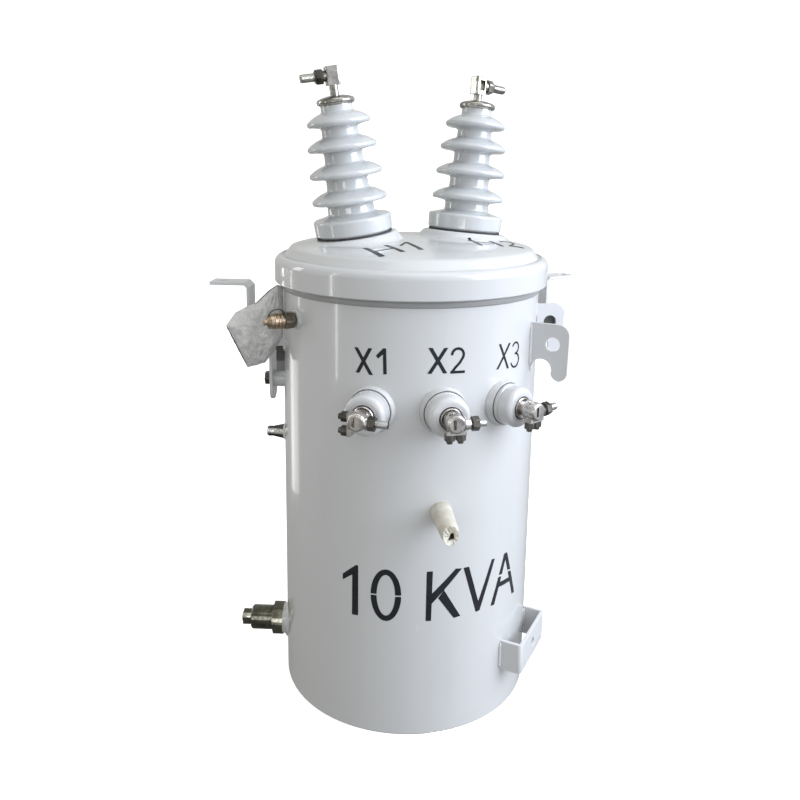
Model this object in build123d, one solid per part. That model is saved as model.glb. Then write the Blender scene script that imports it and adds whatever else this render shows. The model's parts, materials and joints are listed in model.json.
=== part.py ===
from build123d import *
import os
from math import sin, cos, radians, sqrt

# Pole mounted single-phase distribution transformer, millimetres.
# +Z up, origin on the tank axis at the face the tank stands on.
# The front (middle low-voltage bushing) looks along -Y. An azimuth is measured
# from the front and grows towards +X.

os.makedirs("parts", exist_ok=True)

# ---------------------------------------------------------------- dimensions
TANK_R = 190.0            # tank outer radius
TANK_WALL = 3.0           # tank sheet thickness
BOTTOM_T = 4.0            # bottom plate thickness
BOTTOM_EDGE = 3.0         # rounding of the bottom edge
LIP_Z = 645.0             # top of the rolled tank lip
LIP_R = 198.0             # outer radius of the rolled tank lip

BAND_R = 201.5            # cover band outer radius
BAND_T = 3.0              # cover band thickness
BAND_BOTTOM = 628.0       # lower edge of the band
BAND_TOP = 666.5          # crest of the band
BAND_SHOULDER = 655.0     # where the band starts to turn in

COVER_T = 3.0             # cover sheet thickness
COVER_GROOVE_R = 187.5    # foot of the cover's raised part
COVER_RIM_R = 179.0       # edge of the raised top
COVER_TOP_Z = 692.5       # cover height on the axis

HV = {                    # radius from axis, azimuth, outward tilt
    1: dict(d=88.0, phi=-83.5, tilt=8.6, bolt_phi=-84.0, eye=14.0, shank=35.5, lean=0.0, back=9.5, half=8.0, window=(-4.0, 4.5)),
    2: dict(d=94.5, phi=108.5, tilt=5.5, bolt_phi=115.0, eye=10.0, shank=41.0, lean=0.8, back=10.8, half=8.5, window=(-5.0, 5.0)),
}
HV_SEAT_Z = 699.0         # height of the middle of the porcelain's foot
HV_GASKET_T = 2.6
HV_SHEDS = [(50.0, 53.8), (87.0, 52.0), (124.0, 49.2), (158.0, 44.8)]
HV_CORES = [33.5, 30.0, 27.5, 26.0, 22.5]
HV_FOOT_R = 56.0
HV_NECK_TOP = 180.0
HV_CAP_R = 27.0
HV_CAP_T = 13.0
HV_STEM_R = 6.2

LV_PHI = {1: -28.0, 2: 1.0, 3: 29.5}
LV_ROLL = {1: -90.0, 2: 0.0, 3: 0.0}   # which way each clamp's nuts face
LV_ARM = {1: 13.5, 2: 21.0, 3: 20.0}    # where each eyebolt's nut bears
LV_BOLT = {1: 26.0, 2: 19.0, 3: 25.0}   # eyebolt length from there
LV_PAIR = {1: (9.3, 4.0), 2: (7.2, 0.0), 3: (7.2, 0.0)}   # half pitch and offset of the nuts
LV_WIRE_R = 4.75          # conductor hole in the clamps
LV_Z = 481.0
LV_COLLAR_R = 30.5
LV_BODY_R = 28.0
LV_FACE = 225.0           # radius from the axis to the porcelain's front face

TAP_Z, TAP_R0, TAP_R1, TAP_LEN = 339.5, 15.0, 12.4, 75.0
TAP_PHI, TAP_TURN = 1.0, -6.0    # root azimuth, lean of the stub to the left

HOOK_T = 5.0
HOOK_FRONT_PHI, HOOK_FRONT_UP = 51.5, 0.0
LUG_PHI, LUG_UP = 88.5, 5.0
HOOK_HOLE_R = 10.3

STRAP_PHI = 51.5
STRAP_Z0, STRAP_Z1 = 67.0, 113.0
STRAP_FACE = 215.0        # radius to the strap's outer face
STRAP_W = 111.0
STRAP_T = 5.0
STRAP_HOLE_R = 6.5

ARR_PHI = 105.5
ARR_W, ARR_T = 36.0, 5.0
ARR_TOP = 620.0
ARR_END = 302.0
ARR_BOLT_Z = 469.0
ARR_HOLE, ARR_HOLE_R = 286.0, 6.75

VALVE_PHI, VALVE_Z = -69.0, 585.0
DRAIN_PHI, DRAIN_Z = -104.5, 62.0
STUD_PHI, STUD_Z = -103.5, 385.0

# ------------------------------------------------------------------ helpers
def spot(phi, r, z):
    a = radians(phi)
    return Vector(r * sin(a), -r * cos(a), z)


def frame_at(phi, r, z, roll=0.0):
    """Local X to the right along the wall, local Y up, local Z straight out."""
    a = radians(phi)
    pl = Plane(origin=spot(phi, r, z), x_dir=(cos(a), sin(a), 0), z_dir=(sin(a), -cos(a), 0))
    return pl.location * Location((0, 0, 0), (0, 0, roll))


def radial_plane(phi):
    """Local X = distance from the tank axis, local Y = height, normal along the wall."""
    a = radians(phi)
    return Plane(origin=(0, 0, 0), x_dir=(sin(a), -cos(a), 0), z_dir=(-cos(a), -sin(a), 0))


def rod(r, h, z=0.0):
    return Pos(0, 0, z) * Cylinder(r, h, align=(Align.CENTER, Align.CENTER, Align.MIN))


def cone(r0, r1, h, z=0.0):
    return Pos(0, 0, z) * Cone(r0, r1, h, align=(Align.CENTER, Align.CENTER, Align.MIN))


def hexagon(af, h, z=0.0, turn=0.0):
    """Hex prism with chamfered corners, given its size across flats."""
    body = Pos(0, 0, z) * Rot(0, 0, turn) * extrude(RegularPolygon(af / 2, 6, major_radius=False), h)
    trim = rod(af / 2 * 1.11, h, z)
    keep = body & trim
    return keep


def slab(x0, x1, y0, y1, z0, z1):
    return Pos((x0 + x1) / 2, (y0 + y1) / 2, (z0 + z1) / 2) * Box(x1 - x0, y1 - y0, z1 - z0)


def turned(points):
    """Solid of revolution about Z from (radius, height) points."""
    face = make_face(Plane.XZ * Polyline(*[(p[0], p[1]) for p in points], close=True))
    return revolve(face, Axis.Z)


def one(shape):
    s = shape.solids() if hasattr(shape, "solids") else [shape]
    assert len(s) == 1, len(s)
    return s[0]


TANK_CUT = Pos(0, 0, -500) * Cylinder(TANK_R, 2500, align=(Align.CENTER, Align.CENTER, Align.MIN))
parts = {}


def add(name, shape):
    parts[name] = shape

# --------------------------------------------------------------------- tank
bottom = rod(TANK_R, BOTTOM_T)
bottom = fillet(bottom.edges().sort_by(Axis.Z)[:1], BOTTOM_EDGE)
add("tank_bottom", bottom)

wall_pts = [
    (TANK_R - TANK_WALL, BOTTOM_T), (TANK_R, BOTTOM_T),
    (TANK_R, LIP_Z - 6), (TANK_R - TANK_WALL, LIP_Z - 6),
]
add("tank_wall", turned(wall_pts))
lip_pts = [
    (TANK_R - TANK_WALL, LIP_Z - 6), (TANK_R, LIP_Z - 6), (TANK_R + 3, LIP_Z - 3),
    (LIP_R, LIP_Z - 3), (LIP_R, LIP_Z), (TANK_R - TANK_WALL, LIP_Z),
]
add("tank_lip", turned(lip_pts))

# cover: flange, groove, raised rim and a shallow dome, with two tilted seats
g = COVER_GROOVE_R
outer = [
    (LIP_R, LIP_Z), (LIP_R, LIP_Z + COVER_T),
]
prof = [
    (g + 4, LIP_Z + 14), (g, LIP_Z + 20), (g - 2.5, LIP_Z + 22),
    (COVER_RIM_R + 2.5, 673.0), (COVER_RIM_R, 676.5), (COVER_RIM_R - 4.5, 679.2),
    (166.0, 682.0), (150.0, 684.6), (120.0, 688.0), (85.0, 690.6), (45.0, 692.1), (0.0, COVER_TOP_Z),
]


def cover_curve(pts, up):
    """Smooth dome line from the foot to the axis."""
    return [(r, z + up) for r, z in pts]


top_line = cover_curve(prof, 0)
under_line = [(max(r - (COVER_T if i < 7 else 0.0), 0.0), z - (COVER_T if i > 3 else 0.0)) for i, (r, z) in enumerate(prof)]
with BuildPart() as cover_b:
    with BuildSketch(Plane.XZ):
        with BuildLine():
            a0 = Polyline((LIP_R, LIP_Z), (LIP_R, LIP_Z + COVER_T), (g + 4, LIP_Z + COVER_T), top_line[0])
            a1 = Spline(*top_line, tangents=[(-0.25, 1, 0), (-1, 0, 0)])
            a2 = Line((0, COVER_TOP_Z), (0, COVER_TOP_Z - COVER_T))
            a3 = Spline(*reversed(under_line), tangents=[(1, 0, 0), (0.25, -1, 0)])
            a4 = Polyline(under_line[0], (g + 4 - COVER_T, LIP_Z), (LIP_R, LIP_Z))
        make_face()
    revolve(axis=Axis.Z)
cover = cover_b.part

SEATS = {}
for n, h in HV.items():
    a = radians(h["phi"])
    t = radians(h["tilt"])
    out = Vector(sin(a), -cos(a), 0)
    u = out * sin(t) + Vector(0, 0, cos(t))
    x_dir = out * cos(t) - Vector(0, 0, sin(t))
    foot = out * h["d"] + Vector(0, 0, HV_SEAT_Z)
    SEATS[n] = (Plane(origin=foot, x_dir=x_dir, z_dir=u), u, out)
    seat = Plane(origin=foot, x_dir=x_dir, z_dir=u).location
    pad = seat * Pos(0, 0, -HV_GASKET_T) * Pos(0, 0, -13) * Cone(70, 58.5, 13, align=(Align.CENTER, Align.CENTER, Align.MIN))
    keep = Pos(0, 0, 682) * Cylinder(168, 60, align=(Align.CENTER, Align.CENTER, Align.MIN))
    pad = pad & keep
    cover = cover + pad
for n in HV:
    clear = SEATS[n][0].location * Pos(0, 0, -HV_GASKET_T) * Cylinder(HV_FOOT_R + 3.0, 60, align=(Align.CENTER, Align.CENTER, Align.MIN))
    cover = cover - clear
# soften the seats where they meet the dome
try:
    sel = [e for e in cover.edges() if e.center().Z > 684 and sqrt(e.center().X ** 2 + e.center().Y ** 2) < 175 and e.length > 20]
    softened = fillet(sel, 2.5)
    if softened.is_valid:
        cover = softened
except Exception as err:
    print("seat edges left sharp:", type(err).__name__)
add("cover", cover)

# cover band: a channel that grips both lips
band_outer = [(192.2, BAND_BOTTOM), (BAND_R - 1.5, BAND_BOTTOM), (BAND_R, BAND_BOTTOM + 1.5), (BAND_R, BAND_SHOULDER)]
with BuildPart() as band_b:
    with BuildSketch(Plane.XZ):
        with BuildLine():
            b0 = Polyline((192.2, BAND_BOTTOM + BAND_T), (192.2, BAND_BOTTOM), (BAND_R - 1.5, BAND_BOTTOM),
                          (BAND_R, BAND_BOTTOM + 1.5), (BAND_R, BAND_SHOULDER))
            b1 = ThreePointArc((BAND_R, BAND_SHOULDER), (BAND_R - 3.4, BAND_TOP - 3.2), (BAND_R - 10.0, BAND_TOP))
            b2 = Line((BAND_R - 10.0, BAND_TOP), (BAND_R - 10.5, BAND_TOP - BAND_T))
            b3 = ThreePointArc((BAND_R - 10.5, BAND_TOP - BAND_T), (BAND_R - 5.4, BAND_TOP - 5.6), (BAND_R - BAND_T, BAND_SHOULDER))
            b4 = Polyline((BAND_R - BAND_T, BAND_SHOULDER), (BAND_R - BAND_T, BAND_BOTTOM + BAND_T), (192.2, BAND_BOTTOM + BAND_T))
        make_face()
    revolve(axis=Axis.Z)
band = band_b.part
# split at the back, with an ear each side for the closing bolt
gap = frame_at(180, 0, 0) * slab(-5, 5, 600, 700, 150, 230)
band = band - gap
ears = None
for s in (-1, 1):
    x0, x1 = (5.0, 9.0) if s > 0 else (-9.0, -5.0)
    ear = frame_at(180, 0, 0) * slab(x0, x1, 634, 658, BAND_R - 1.2, BAND_R + 21)
    hole = frame_at(180, BAND_R + 11, 646) * Rot(0, 90, 0) * Cylinder(5.5, 60)
    band = band + (ear - hole)
add("cover_band", band)
bolt_loc = frame_at(180, BAND_R + 11, 646) * Rot(0, 90, 0)
bolt = bolt_loc * (hexagon(16, 6.5, -16.2) + rod(5.2, 36, -10) + hexagon(16, 8, 9.2))
# the head and the nut bear on the ears
add("band_bolt", bolt)

# ------------------------------------------------------- high-voltage bushings
def hv_porcelain():
    c = HV_CORES
    pts = [(0.0, 0.0), (HV_FOOT_R - 3.0, 0.0), (HV_FOOT_R - 0.4, 2.6), (HV_FOOT_R + 0.3, 20.0)]
    segs = []
    with BuildPart() as bp:
        with BuildSketch(Plane.XZ):
            with BuildLine():
                Polyline(*pts)
                x, y = pts[-1]
                ThreePointArc((x, y), (x - 1.2, y + 2.9), (x - 5.0, y + 4.2))
                x, y = x - 5.0, y + 4.2
                # skirt top to the core
                Line((x, y), (c[0] + 3.0, 28.2))
                ThreePointArc((c[0] + 3.0, 28.2), (c[0] + 0.9, 29.3), (c[0], 31.5))
                x, y = c[0], 31.5
                for i, (s, r) in enumerate(HV_SHEDS):
                    lo, hi = c[i], c[i + 1]
                    # core up to the underside, out to the tip, back down the sloping top
                    Line((x, y), (lo - 0.3, s - 10.5))
                    ThreePointArc((lo - 0.3, s - 10.5), (lo + 0.7, s - 8.4), (lo + 2.6, s - 7.4))
                    Line((lo + 2.6, s - 7.4), (r - 6.0, s - 5.0))
                    ThreePointArc((r - 6.0, s - 5.0), (r, s), (r - 2.4, s + 3.2))
                    mx, my = (r - 2.4 + hi + 3.2) / 2, (s + 3.2 + s + 12.4) / 2
                    ThreePointArc((r - 2.4, s + 3.2), (mx + 0.4, my + 0.9), (hi + 3.2, s + 12.4))
                    ThreePointArc((hi + 3.2, s + 12.4), (hi + 0.9, s + 13.8), (hi, s + 16.2))
                    x, y = hi, s + 16.2
                Line((x, y), (x, HV_NECK_TOP))
                Line((x, HV_NECK_TOP), (0, HV_NECK_TOP))
                Line((0, HV_NECK_TOP), (0, 0))
            make_face()
        revolve(axis=Axis.Z)
    return bp.part


PORC = hv_porcelain()
gaskets = []
for n, h in HV.items():
    pl, u, out = SEATS[n]
    loc = pl.location
    gaskets.append(one(loc * rod(HV_FOOT_R - 1.6, HV_GASKET_T, -HV_GASKET_T)))
    add(f"hv_porcelain_{n}", loc * PORC)
    # spun metal cap with a rolled edge and the terminal stem
    with BuildPart() as cb:
        with BuildSketch(Plane.XZ):
            with BuildLine():
                z0, z1, R = HV_NECK_TOP, HV_NECK_TOP + HV_CAP_T, HV_CAP_R
                Line((0, z0), (R - 4.5, z0))
                Line((R - 4.5, z0), (R - 4.5, z0 + 0.6))
                ThreePointArc((R - 4.5, z0 + 0.6), (R, z0 + 5.8), (R - 4.0, z0 + 10.0))
                Line((R - 4.0, z0 + 10.0), (R - 7.0, z0 + 11.2))
                Line((R - 7.0, z0 + 11.2), (12.0, z1))
                Line((12.0, z1), (0, z1))
                Line((0, z1), (0, z0))
            make_face()
        revolve(axis=Axis.Z)
    s0 = HV_NECK_TOP + HV_CAP_T
    side = Vector(-0.974, 0.225, 0) * h["lean"]
    stem = Plane(origin=pl.origin + side, x_dir=(pl.x_dir.X, pl.x_dir.Y, pl.x_dir.Z), z_dir=(u.X, u.Y, u.Z)).location * rod(HV_STEM_R, h["eye"] + 1.0, s0 - 1)
    add(f"hv_cap_{n}", one((loc * cb.part) + stem))
    # eye clamp on the stem: local frame with X along the clamp bolt
    az = radians(h["bolt_phi"])
    b = Vector(sin(az), -cos(az), 0)
    top = pl.origin + u * (s0 + h["eye"]) + Vector(-0.974, 0.225, 0) * h["lean"]
    xb = (b - u * b.dot(u)).normalized()
    eye_loc = Plane(origin=top, x_dir=(xb.X, xb.Y, xb.Z), z_dir=(u.X, u.Y, u.Z)).location
    eye = slab(-h["back"], 9.5, -h["half"], h["half"], 0, 26)
    eye = fillet(eye.edges().filter_by(Axis.Z), 3.0)
    eye = chamfer(eye.edges().group_by(Axis.Z)[-1], 1.5)
    window = slab(h["window"][0], h["window"][1], -20, h["half"] - 3.0, 5.5, 20.5)
    eye = eye - window
    add(f"hv_eye_clamp_{n}", eye_loc * eye)
    # washer, hex nut and threaded shank that leaves the clamp on its outer side
    bl = eye_loc * Pos(9.5, 0, 13) * Rot(0, 90, 0)
    nut = rod(7.4, 4.2, 0) + hexagon(19, 9.5, 4.2, 15) + rod(8.6, 1.3, 13.7) + rod(5.6, h["shank"], 0)
    add(f"hv_clamp_bolt_{n}", bl * nut)

add("hv_gaskets", Compound(children=gaskets))

# -------------------------------------------------------- low-voltage bushings
eye_bolts, clamp_nuts = [], []
for n, phi in LV_PHI.items():
    loc = frame_at(phi, 0, LV_Z)
    collar = cone(LV_COLLAR_R + 2.0, LV_COLLAR_R, 8.0, TANK_R - 0.0)
    collar = rod(LV_COLLAR_R + 2.0, 9.0, TANK_R - 9.0) + collar
    collar = (loc * collar) - TANK_CUT
    add(f"lv_collar_{n}", collar)
    z0 = TANK_R + 8.0
    with BuildPart() as lb:
        with BuildSketch(Plane.XZ):
            with BuildLine():
                f, R = LV_FACE, LV_BODY_R
                Polyline((0, z0), (R + 0.5, z0), (R + 0.5, z0 + 5.0), (R - 1.3, z0 + 6.2), (R - 1.3, z0 + 7.4), (R, z0 + 8.6), (R, f - 8.0))
                ThreePointArc((R, f - 8.0), (R - 2.2, f - 2.4), (R - 7.5, f))
                Polyline((R - 7.5, f), (16.2, f), (15.4, f - 1.0), (15.4, f - 8.0), (0, f - 8.0), (0, z0))
            make_face()
        revolve(axis=Axis.Z)
    add(f"lv_porcelain_{n}", loc * lb.part)
    stud = rod(14.2, 9.4, LV_FACE - 8.0)
    stud = chamfer(stud.edges().filter_by(GeomType.CIRCLE).sort_by(Axis.Z)[-1:], 1.2) + rod(9.0, 7.6, LV_FACE + 1.4)
    add(f"lv_stud_{n}", loc * stud)
    # clamp with a conductor hole from above, a front slot into it, and an arm for the eyebolt
    cl = frame_at(phi, LV_FACE + 9.0, LV_Z)
    clamp = Pos(-0.5, 1.0, 0) * rod(12.4, 20.0, 0)
    clamp = fillet(clamp.edges().filter_by(GeomType.CIRCLE).sort_by(Axis.Z)[-1:], 3.6)
    turn = Rot(0, 0, LV_ROLL[n])
    reach = LV_ARM[n]
    arm = Pos(11.0, -1.0, 10.0) * Rot(0, 90, 0) * Cone(9.5, 6.5 if reach > 15 else 8.6, reach - 11.0, align=(Align.CENTER, Align.CENTER, Align.MIN))
    clamp = clamp + arm + Pos(-9.0, -1.0, 9.5) * Rot(0, 90, 0) * rod(8.6, 20.5, 0)
    block = slab(-9.5, 9.5, -11.0, 0.0, 1.5, 18.0)
    block = fillet(block.edges().filter_by(Axis.Y), 3.0)
    clamp = clamp + turn * block
    hole = Pos(-3.5, 0, 10.0) * Rot(-90, 0, 0) * rod(LV_WIRE_R, 40.0, -5.0)
    clamp = clamp - hole
    clamp = clamp - slab(-5.5, -1.5, -5.0, 8.0, 10.0, 30.0)
    clamp = clamp - rod(9.0, 8.0, -8.0)
    gap, low = LV_PAIR[n]
    saddle = turn * slab(-gap - 6.0 + low, gap + 6.0 + low, -13.0, -8.0, 3.0, 17.0)
    saddle = saddle - hole
    clamp = clamp + saddle
    add(f"lv_clamp_{n}", cl * one(clamp))
    eye_bolts.append(cl * Pos(reach, -1.0, 10.0) * Rot(0, 90, 0) * (hexagon(17, 9.0, 0, 15) + rod(4.7, LV_BOLT[n], 0)))
    for x in (low - gap, low + gap):
        clamp_nuts.append(cl * turn * Pos(x, -13.0, 10.0) * Rot(90, 0, 0) * (hexagon(12.5, 8.5, 0, 30) + rod(3.9, 12.5, 0)))
add("lv_eyebolts", Compound(children=[one(b) for b in eye_bolts]))
add("lv_clamp_nuts", Compound(children=[one(b) for b in clamp_nuts]))

# ---------------------------------------------------------------- tap changer
ta = radians(TAP_PHI + TAP_TURN)
root = spot(TAP_PHI, TANK_R, TAP_Z)
tap_loc = Plane(origin=root, x_dir=(cos(ta), sin(ta), 0), z_dir=(sin(ta), -cos(ta), 0)).location
tap = cone(TAP_R0, TAP_R1, TAP_LEN, 0.0) + rod(TAP_R0, 10.0, -10.0)
tap = tap - Pos(0, 0, TAP_LEN - 14.0) * slab(-3.5, 4.5, -16, 1.5, 0, 20)
tap = (tap_loc * tap) - TANK_CUT
add("tap_changer_stub", tap)

# ------------------------------------------------------- pressure relief valve
vl = frame_at(VALVE_PHI, 0, VALVE_Z)
boss = (vl * rod(11.5, 9.5, TANK_R - 6.0)) - TANK_CUT
add("relief_valve_boss", boss)
valve = rod(8.2, 3.0, TANK_R + 3.5) + hexagon(22, 14.0, TANK_R + 6.5, 0)
valve = valve + rod(9.6, 20.5, TANK_R + 20.5)
for k in range(3):
    valve = valve + rod(10.9, 2.4, TANK_R + 22.5 + 5.4 * k)
valve = valve + cone(8.6, 5.0, 4.0, TANK_R + 41.0) + rod(3.8, 5.0, TANK_R + 44.5)
add("relief_valve", vl * valve)

# ---------------------------------------------------------------- drain valve
dl = frame_at(DRAIN_PHI, 0, DRAIN_Z)
db = rod(24.0, 12.6, TANK_R - 4.0) + rod(27.0, 9.0, TANK_R - 6.0)
db = (dl * db) - TANK_CUT
add("drain_boss", db)
drain = hexagon(46, 17.0, TANK_R + 8.6, 0)
drain = drain + rod(19.2, 35.4, TANK_R + 25.6)
drain = chamfer(drain.edges().filter_by(GeomType.CIRCLE).sort_by(Axis.Z)[-1:], 2.0) + rod(11.5, 3.0, TANK_R + 60.0)
tip = hexagon(24.5, 12.0, TANK_R + 63.0, 30) & rod(13.2, 12.0, TANK_R + 63.0)
tip = tip + cone(11.0, 8.0, 2.0, TANK_R + 75.0)
drain = drain + tip
add("drain_valve", dl * drain)

# ---------------------------------------------------------------- ground stud
gl = frame_at(STUD_PHI, 0, STUD_Z)
gb = (gl * (rod(12.5, 10.0, TANK_R - 6.0))) - TANK_CUT
gs = cone(11.6, 8.4, 15.0, TANK_R + 4.0)
gtip = rod(8.0, 11.5, TANK_R + 19.0)
gtip = fillet(gtip.edges().filter_by(GeomType.CIRCLE).sort_by(Axis.Z)[-1:], 4.0)
add("ground_pad", gb)
add("ground_stud", gl * (gs + gtip))

# ------------------------------------------------------------ hooks and lugs
def hook_plate(phi, up):
    """Flat plate standing out from the wall: hole above, notch open below."""
    with BuildPart() as hp:
        with BuildSketch(radial_plane(phi)):
            with BuildLine():
                Polyline((TANK_R - 6, 512 + up), (TANK_R - 6, 582 + up), (229.5, 582 + up))
                ThreePointArc((229.5, 582 + up), (240.8, 577.3 + up), (245.5, 566 + up))
                Line((245.5, 566 + up), (244.5, 514 + up))
                ThreePointArc((244.5, 514 + up), (240.5, 504.2 + up), (233.5, 500.6 + up))
                ThreePointArc((233.5, 500.6 + up), (225.5, 503.6 + up), (221.0, 512 + up))
                ThreePointArc((221.0, 512 + up), (205.0, 530.6 + up), (192.5, 517.0 + up))
                Line((192.5, 517.0 + up), (192.5, 512 + up))
                Line((192.5, 512 + up), (TANK_R - 6, 512 + up))
            make_face()
            with Locations((222.5, 553 + up)):
                Circle(HOOK_HOLE_R, mode=Mode.SUBTRACT)
        extrude(amount=HOOK_T / 2, both=True)
    return hp.part - TANK_CUT


add("hook_plate_front", hook_plate(HOOK_FRONT_PHI, HOOK_FRONT_UP))
add("lifting_lug_right", hook_plate(LUG_PHI, LUG_UP))
add("lifting_lug_left", hook_plate(-LUG_PHI, LUG_UP))

# lower mounting strap, a channel in plan, open above and below
sl = frame_at(STRAP_PHI, 0, (STRAP_Z0 + STRAP_Z1) / 2)
hh = (STRAP_Z1 - STRAP_Z0) / 2
strap = slab(-STRAP_W / 2, STRAP_W / 2, -hh, hh, 100, STRAP_FACE)
strap = fillet(strap.edges().filter_by(Axis.Y).sort_by(Axis.Z)[-2:], 6.0)
inner = slab(-STRAP_W / 2 + STRAP_T, STRAP_W / 2 - STRAP_T, -hh - 1, hh + 1, 90, STRAP_FACE - STRAP_T)
strap = strap - inner - rod(STRAP_HOLE_R, 60, 180)
strap = (sl * strap) - TANK_CUT
add("lower_strap", strap)

# ---------------------------------------------------------- arrester brackets
def arrester(side):
    phi = side * ARR_PHI
    f = 208.5
    with BuildPart() as ab:
        with BuildSketch(radial_plane(phi)):
            with BuildLine():
                Polyline((f, 436), (f + ARR_T, 436), (f + ARR_T, 533), (246.0, 571), (246.0, ARR_TOP - 9),
                         (250.0, ARR_TOP - ARR_T), (ARR_END, ARR_TOP - ARR_T), (ARR_END, ARR_TOP),
                         (248.0, ARR_TOP), (241.0, ARR_TOP - 7), (241.0, 573.5), (f, 535.5), (f, 436))
            make_face()
        extrude(amount=ARR_W / 2, both=True)
    bar = ab.part
    # rounded lower end, chamfered corners on the outer end
    fl = frame_at(phi, 0, 0)
    tip = fl * (slab(-30, 30, 425, 454, 200, 222) - (Pos(0, 454, 211) * Cylinder(ARR_W / 2, 40)))
    bar = bar - tip
    hole = frame_at(phi, 0, ARR_BOLT_Z) * rod(6.4, 40, 195)
    bar = bar - hole
    bar = bar - Location(spot(phi, ARR_HOLE, 600)) * rod(ARR_HOLE_R, 40)
    bosspart = (fl * Pos(0, ARR_BOLT_Z, 0) * (rod(13.0, f - 180.0, 180.0) - rod(6.4, 60, 196.0))) - TANK_CUT
    blt = fl * Pos(0, ARR_BOLT_Z, 0) * (rod(6.0, 17.5, 197.0) + rod(11.0, 1.6, f + ARR_T) + hexagon(19, 7.5, f + ARR_T + 1.6, 0))
    return bar, bosspart, blt


arr_bosses, arr_bolts = [], []
for side, word in ((-1, "left"), (1, "right")):
    bar, bs, bt = arrester(side)
    add(f"arrester_bracket_{word}", bar)
    arr_bosses.append(one(bs))
    arr_bolts.append(one(bt))
add("arrester_bosses", Compound(children=arr_bosses))
add("arrester_bolts", Compound(children=arr_bolts))

# ------------------------------------------------------------------ film wrap
bag_pts = [(190.3, 547), (201.5, 529), (218.5, 508.5), (244.5, 502.0), (274.0, 566.5), (260.5, 585.5),
           (242.0, 595.0), (231.5, 598.5), (211.0, 617.5), (199.0, 625.0), (190.3, 622.0)]
bag = extrude(make_face(radial_plane(-LUG_PHI) * Polyline(*bag_pts, close=True)), amount=13, both=True)
bag = bag - TANK_CUT
lug_space = extrude(make_face(radial_plane(-LUG_PHI) * Polyline((180, 495), (247.5, 495), (247.5, 578), (237, 590.0), (180, 590.0), close=True)), amount=3.2, both=True)
bag = bag - lug_space
add("film_wrap", bag)

for name, shape in parts.items():
    export_step(shape, f"parts/{name}.step")
print(len(parts), "nodes written")
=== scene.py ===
import json
import math

import bmesh
import bpy
import numpy as np
from mathutils import Matrix, Vector, noise

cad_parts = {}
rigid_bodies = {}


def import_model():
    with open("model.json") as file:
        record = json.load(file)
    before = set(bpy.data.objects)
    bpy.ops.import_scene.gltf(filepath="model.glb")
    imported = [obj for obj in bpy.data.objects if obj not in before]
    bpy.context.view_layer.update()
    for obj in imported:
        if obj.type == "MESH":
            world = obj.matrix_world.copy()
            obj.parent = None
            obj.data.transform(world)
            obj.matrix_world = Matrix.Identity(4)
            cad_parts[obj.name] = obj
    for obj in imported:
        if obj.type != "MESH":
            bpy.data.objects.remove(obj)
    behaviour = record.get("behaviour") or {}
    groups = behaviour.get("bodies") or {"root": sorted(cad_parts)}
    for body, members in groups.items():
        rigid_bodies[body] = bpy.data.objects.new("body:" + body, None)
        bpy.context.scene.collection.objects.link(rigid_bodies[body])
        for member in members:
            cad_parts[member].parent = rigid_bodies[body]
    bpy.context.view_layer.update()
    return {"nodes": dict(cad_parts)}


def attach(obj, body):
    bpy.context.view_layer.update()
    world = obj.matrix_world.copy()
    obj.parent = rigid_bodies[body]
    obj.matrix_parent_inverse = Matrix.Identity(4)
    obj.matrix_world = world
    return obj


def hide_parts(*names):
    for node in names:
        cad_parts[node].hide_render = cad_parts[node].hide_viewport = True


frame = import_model()
NODES = frame["nodes"]
MM = 0.001
TANK_R = 190.0

# ------------------------------------------------------------------- places


def spot(phi, r, z):
    """Azimuth from the front in degrees, radius and height in mm, as metres."""
    a = math.radians(phi)
    return Vector((r * math.sin(a), -r * math.cos(a), z)) * MM


def wall_frame(phi, r, z, roll=0.0):
    """Matrix with local X right along the wall, Y up, Z straight out, in metres."""
    a = math.radians(phi)
    x, y, n = Vector((math.cos(a), math.sin(a), 0)), Vector((0, 0, 1)), Vector((math.sin(a), -math.cos(a), 0))
    m = Matrix((x, y, n)).transposed().to_4x4()
    m.translation = spot(phi, r, z)
    return m @ Matrix.Rotation(math.radians(roll), 4, "Z")


def axis_frame(origin_mm, z_dir, x_hint):
    z = Vector(z_dir).normalized()
    x = (Vector(x_hint) - z * Vector(x_hint).dot(z)).normalized()
    m = Matrix((x, z.cross(x), z)).transposed().to_4x4()
    m.translation = Vector(origin_mm) * MM
    return m


# ------------------------------------------------------------ mesh building


def make_object(name, verts, faces, material, smooth=True, body="root"):
    mesh = bpy.data.meshes.new(name)
    mesh.from_pydata([tuple(v) for v in verts], [], [tuple(f) for f in faces])
    mesh.validate()
    mesh.update()
    bm = bmesh.new()
    bm.from_mesh(mesh)
    bmesh.ops.remove_doubles(bm, verts=bm.verts, dist=1e-7)
    bmesh.ops.recalc_face_normals(bm, faces=bm.faces)
    for f in bm.faces:
        f.smooth = smooth
    bm.to_mesh(mesh)
    bm.free()
    o = bpy.data.objects.new(name, mesh)
    bpy.context.scene.collection.objects.link(o)
    mesh.materials.append(material)
    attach(o, body)
    return o


def join_parts(parts):
    """Parts are (verts, faces); returns one (verts, faces)."""
    verts, faces = [], []
    for v, f in parts:
        n = len(verts)
        verts += list(v)
        faces += [[i + n for i in q] for q in f]
    return verts, faces


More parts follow.
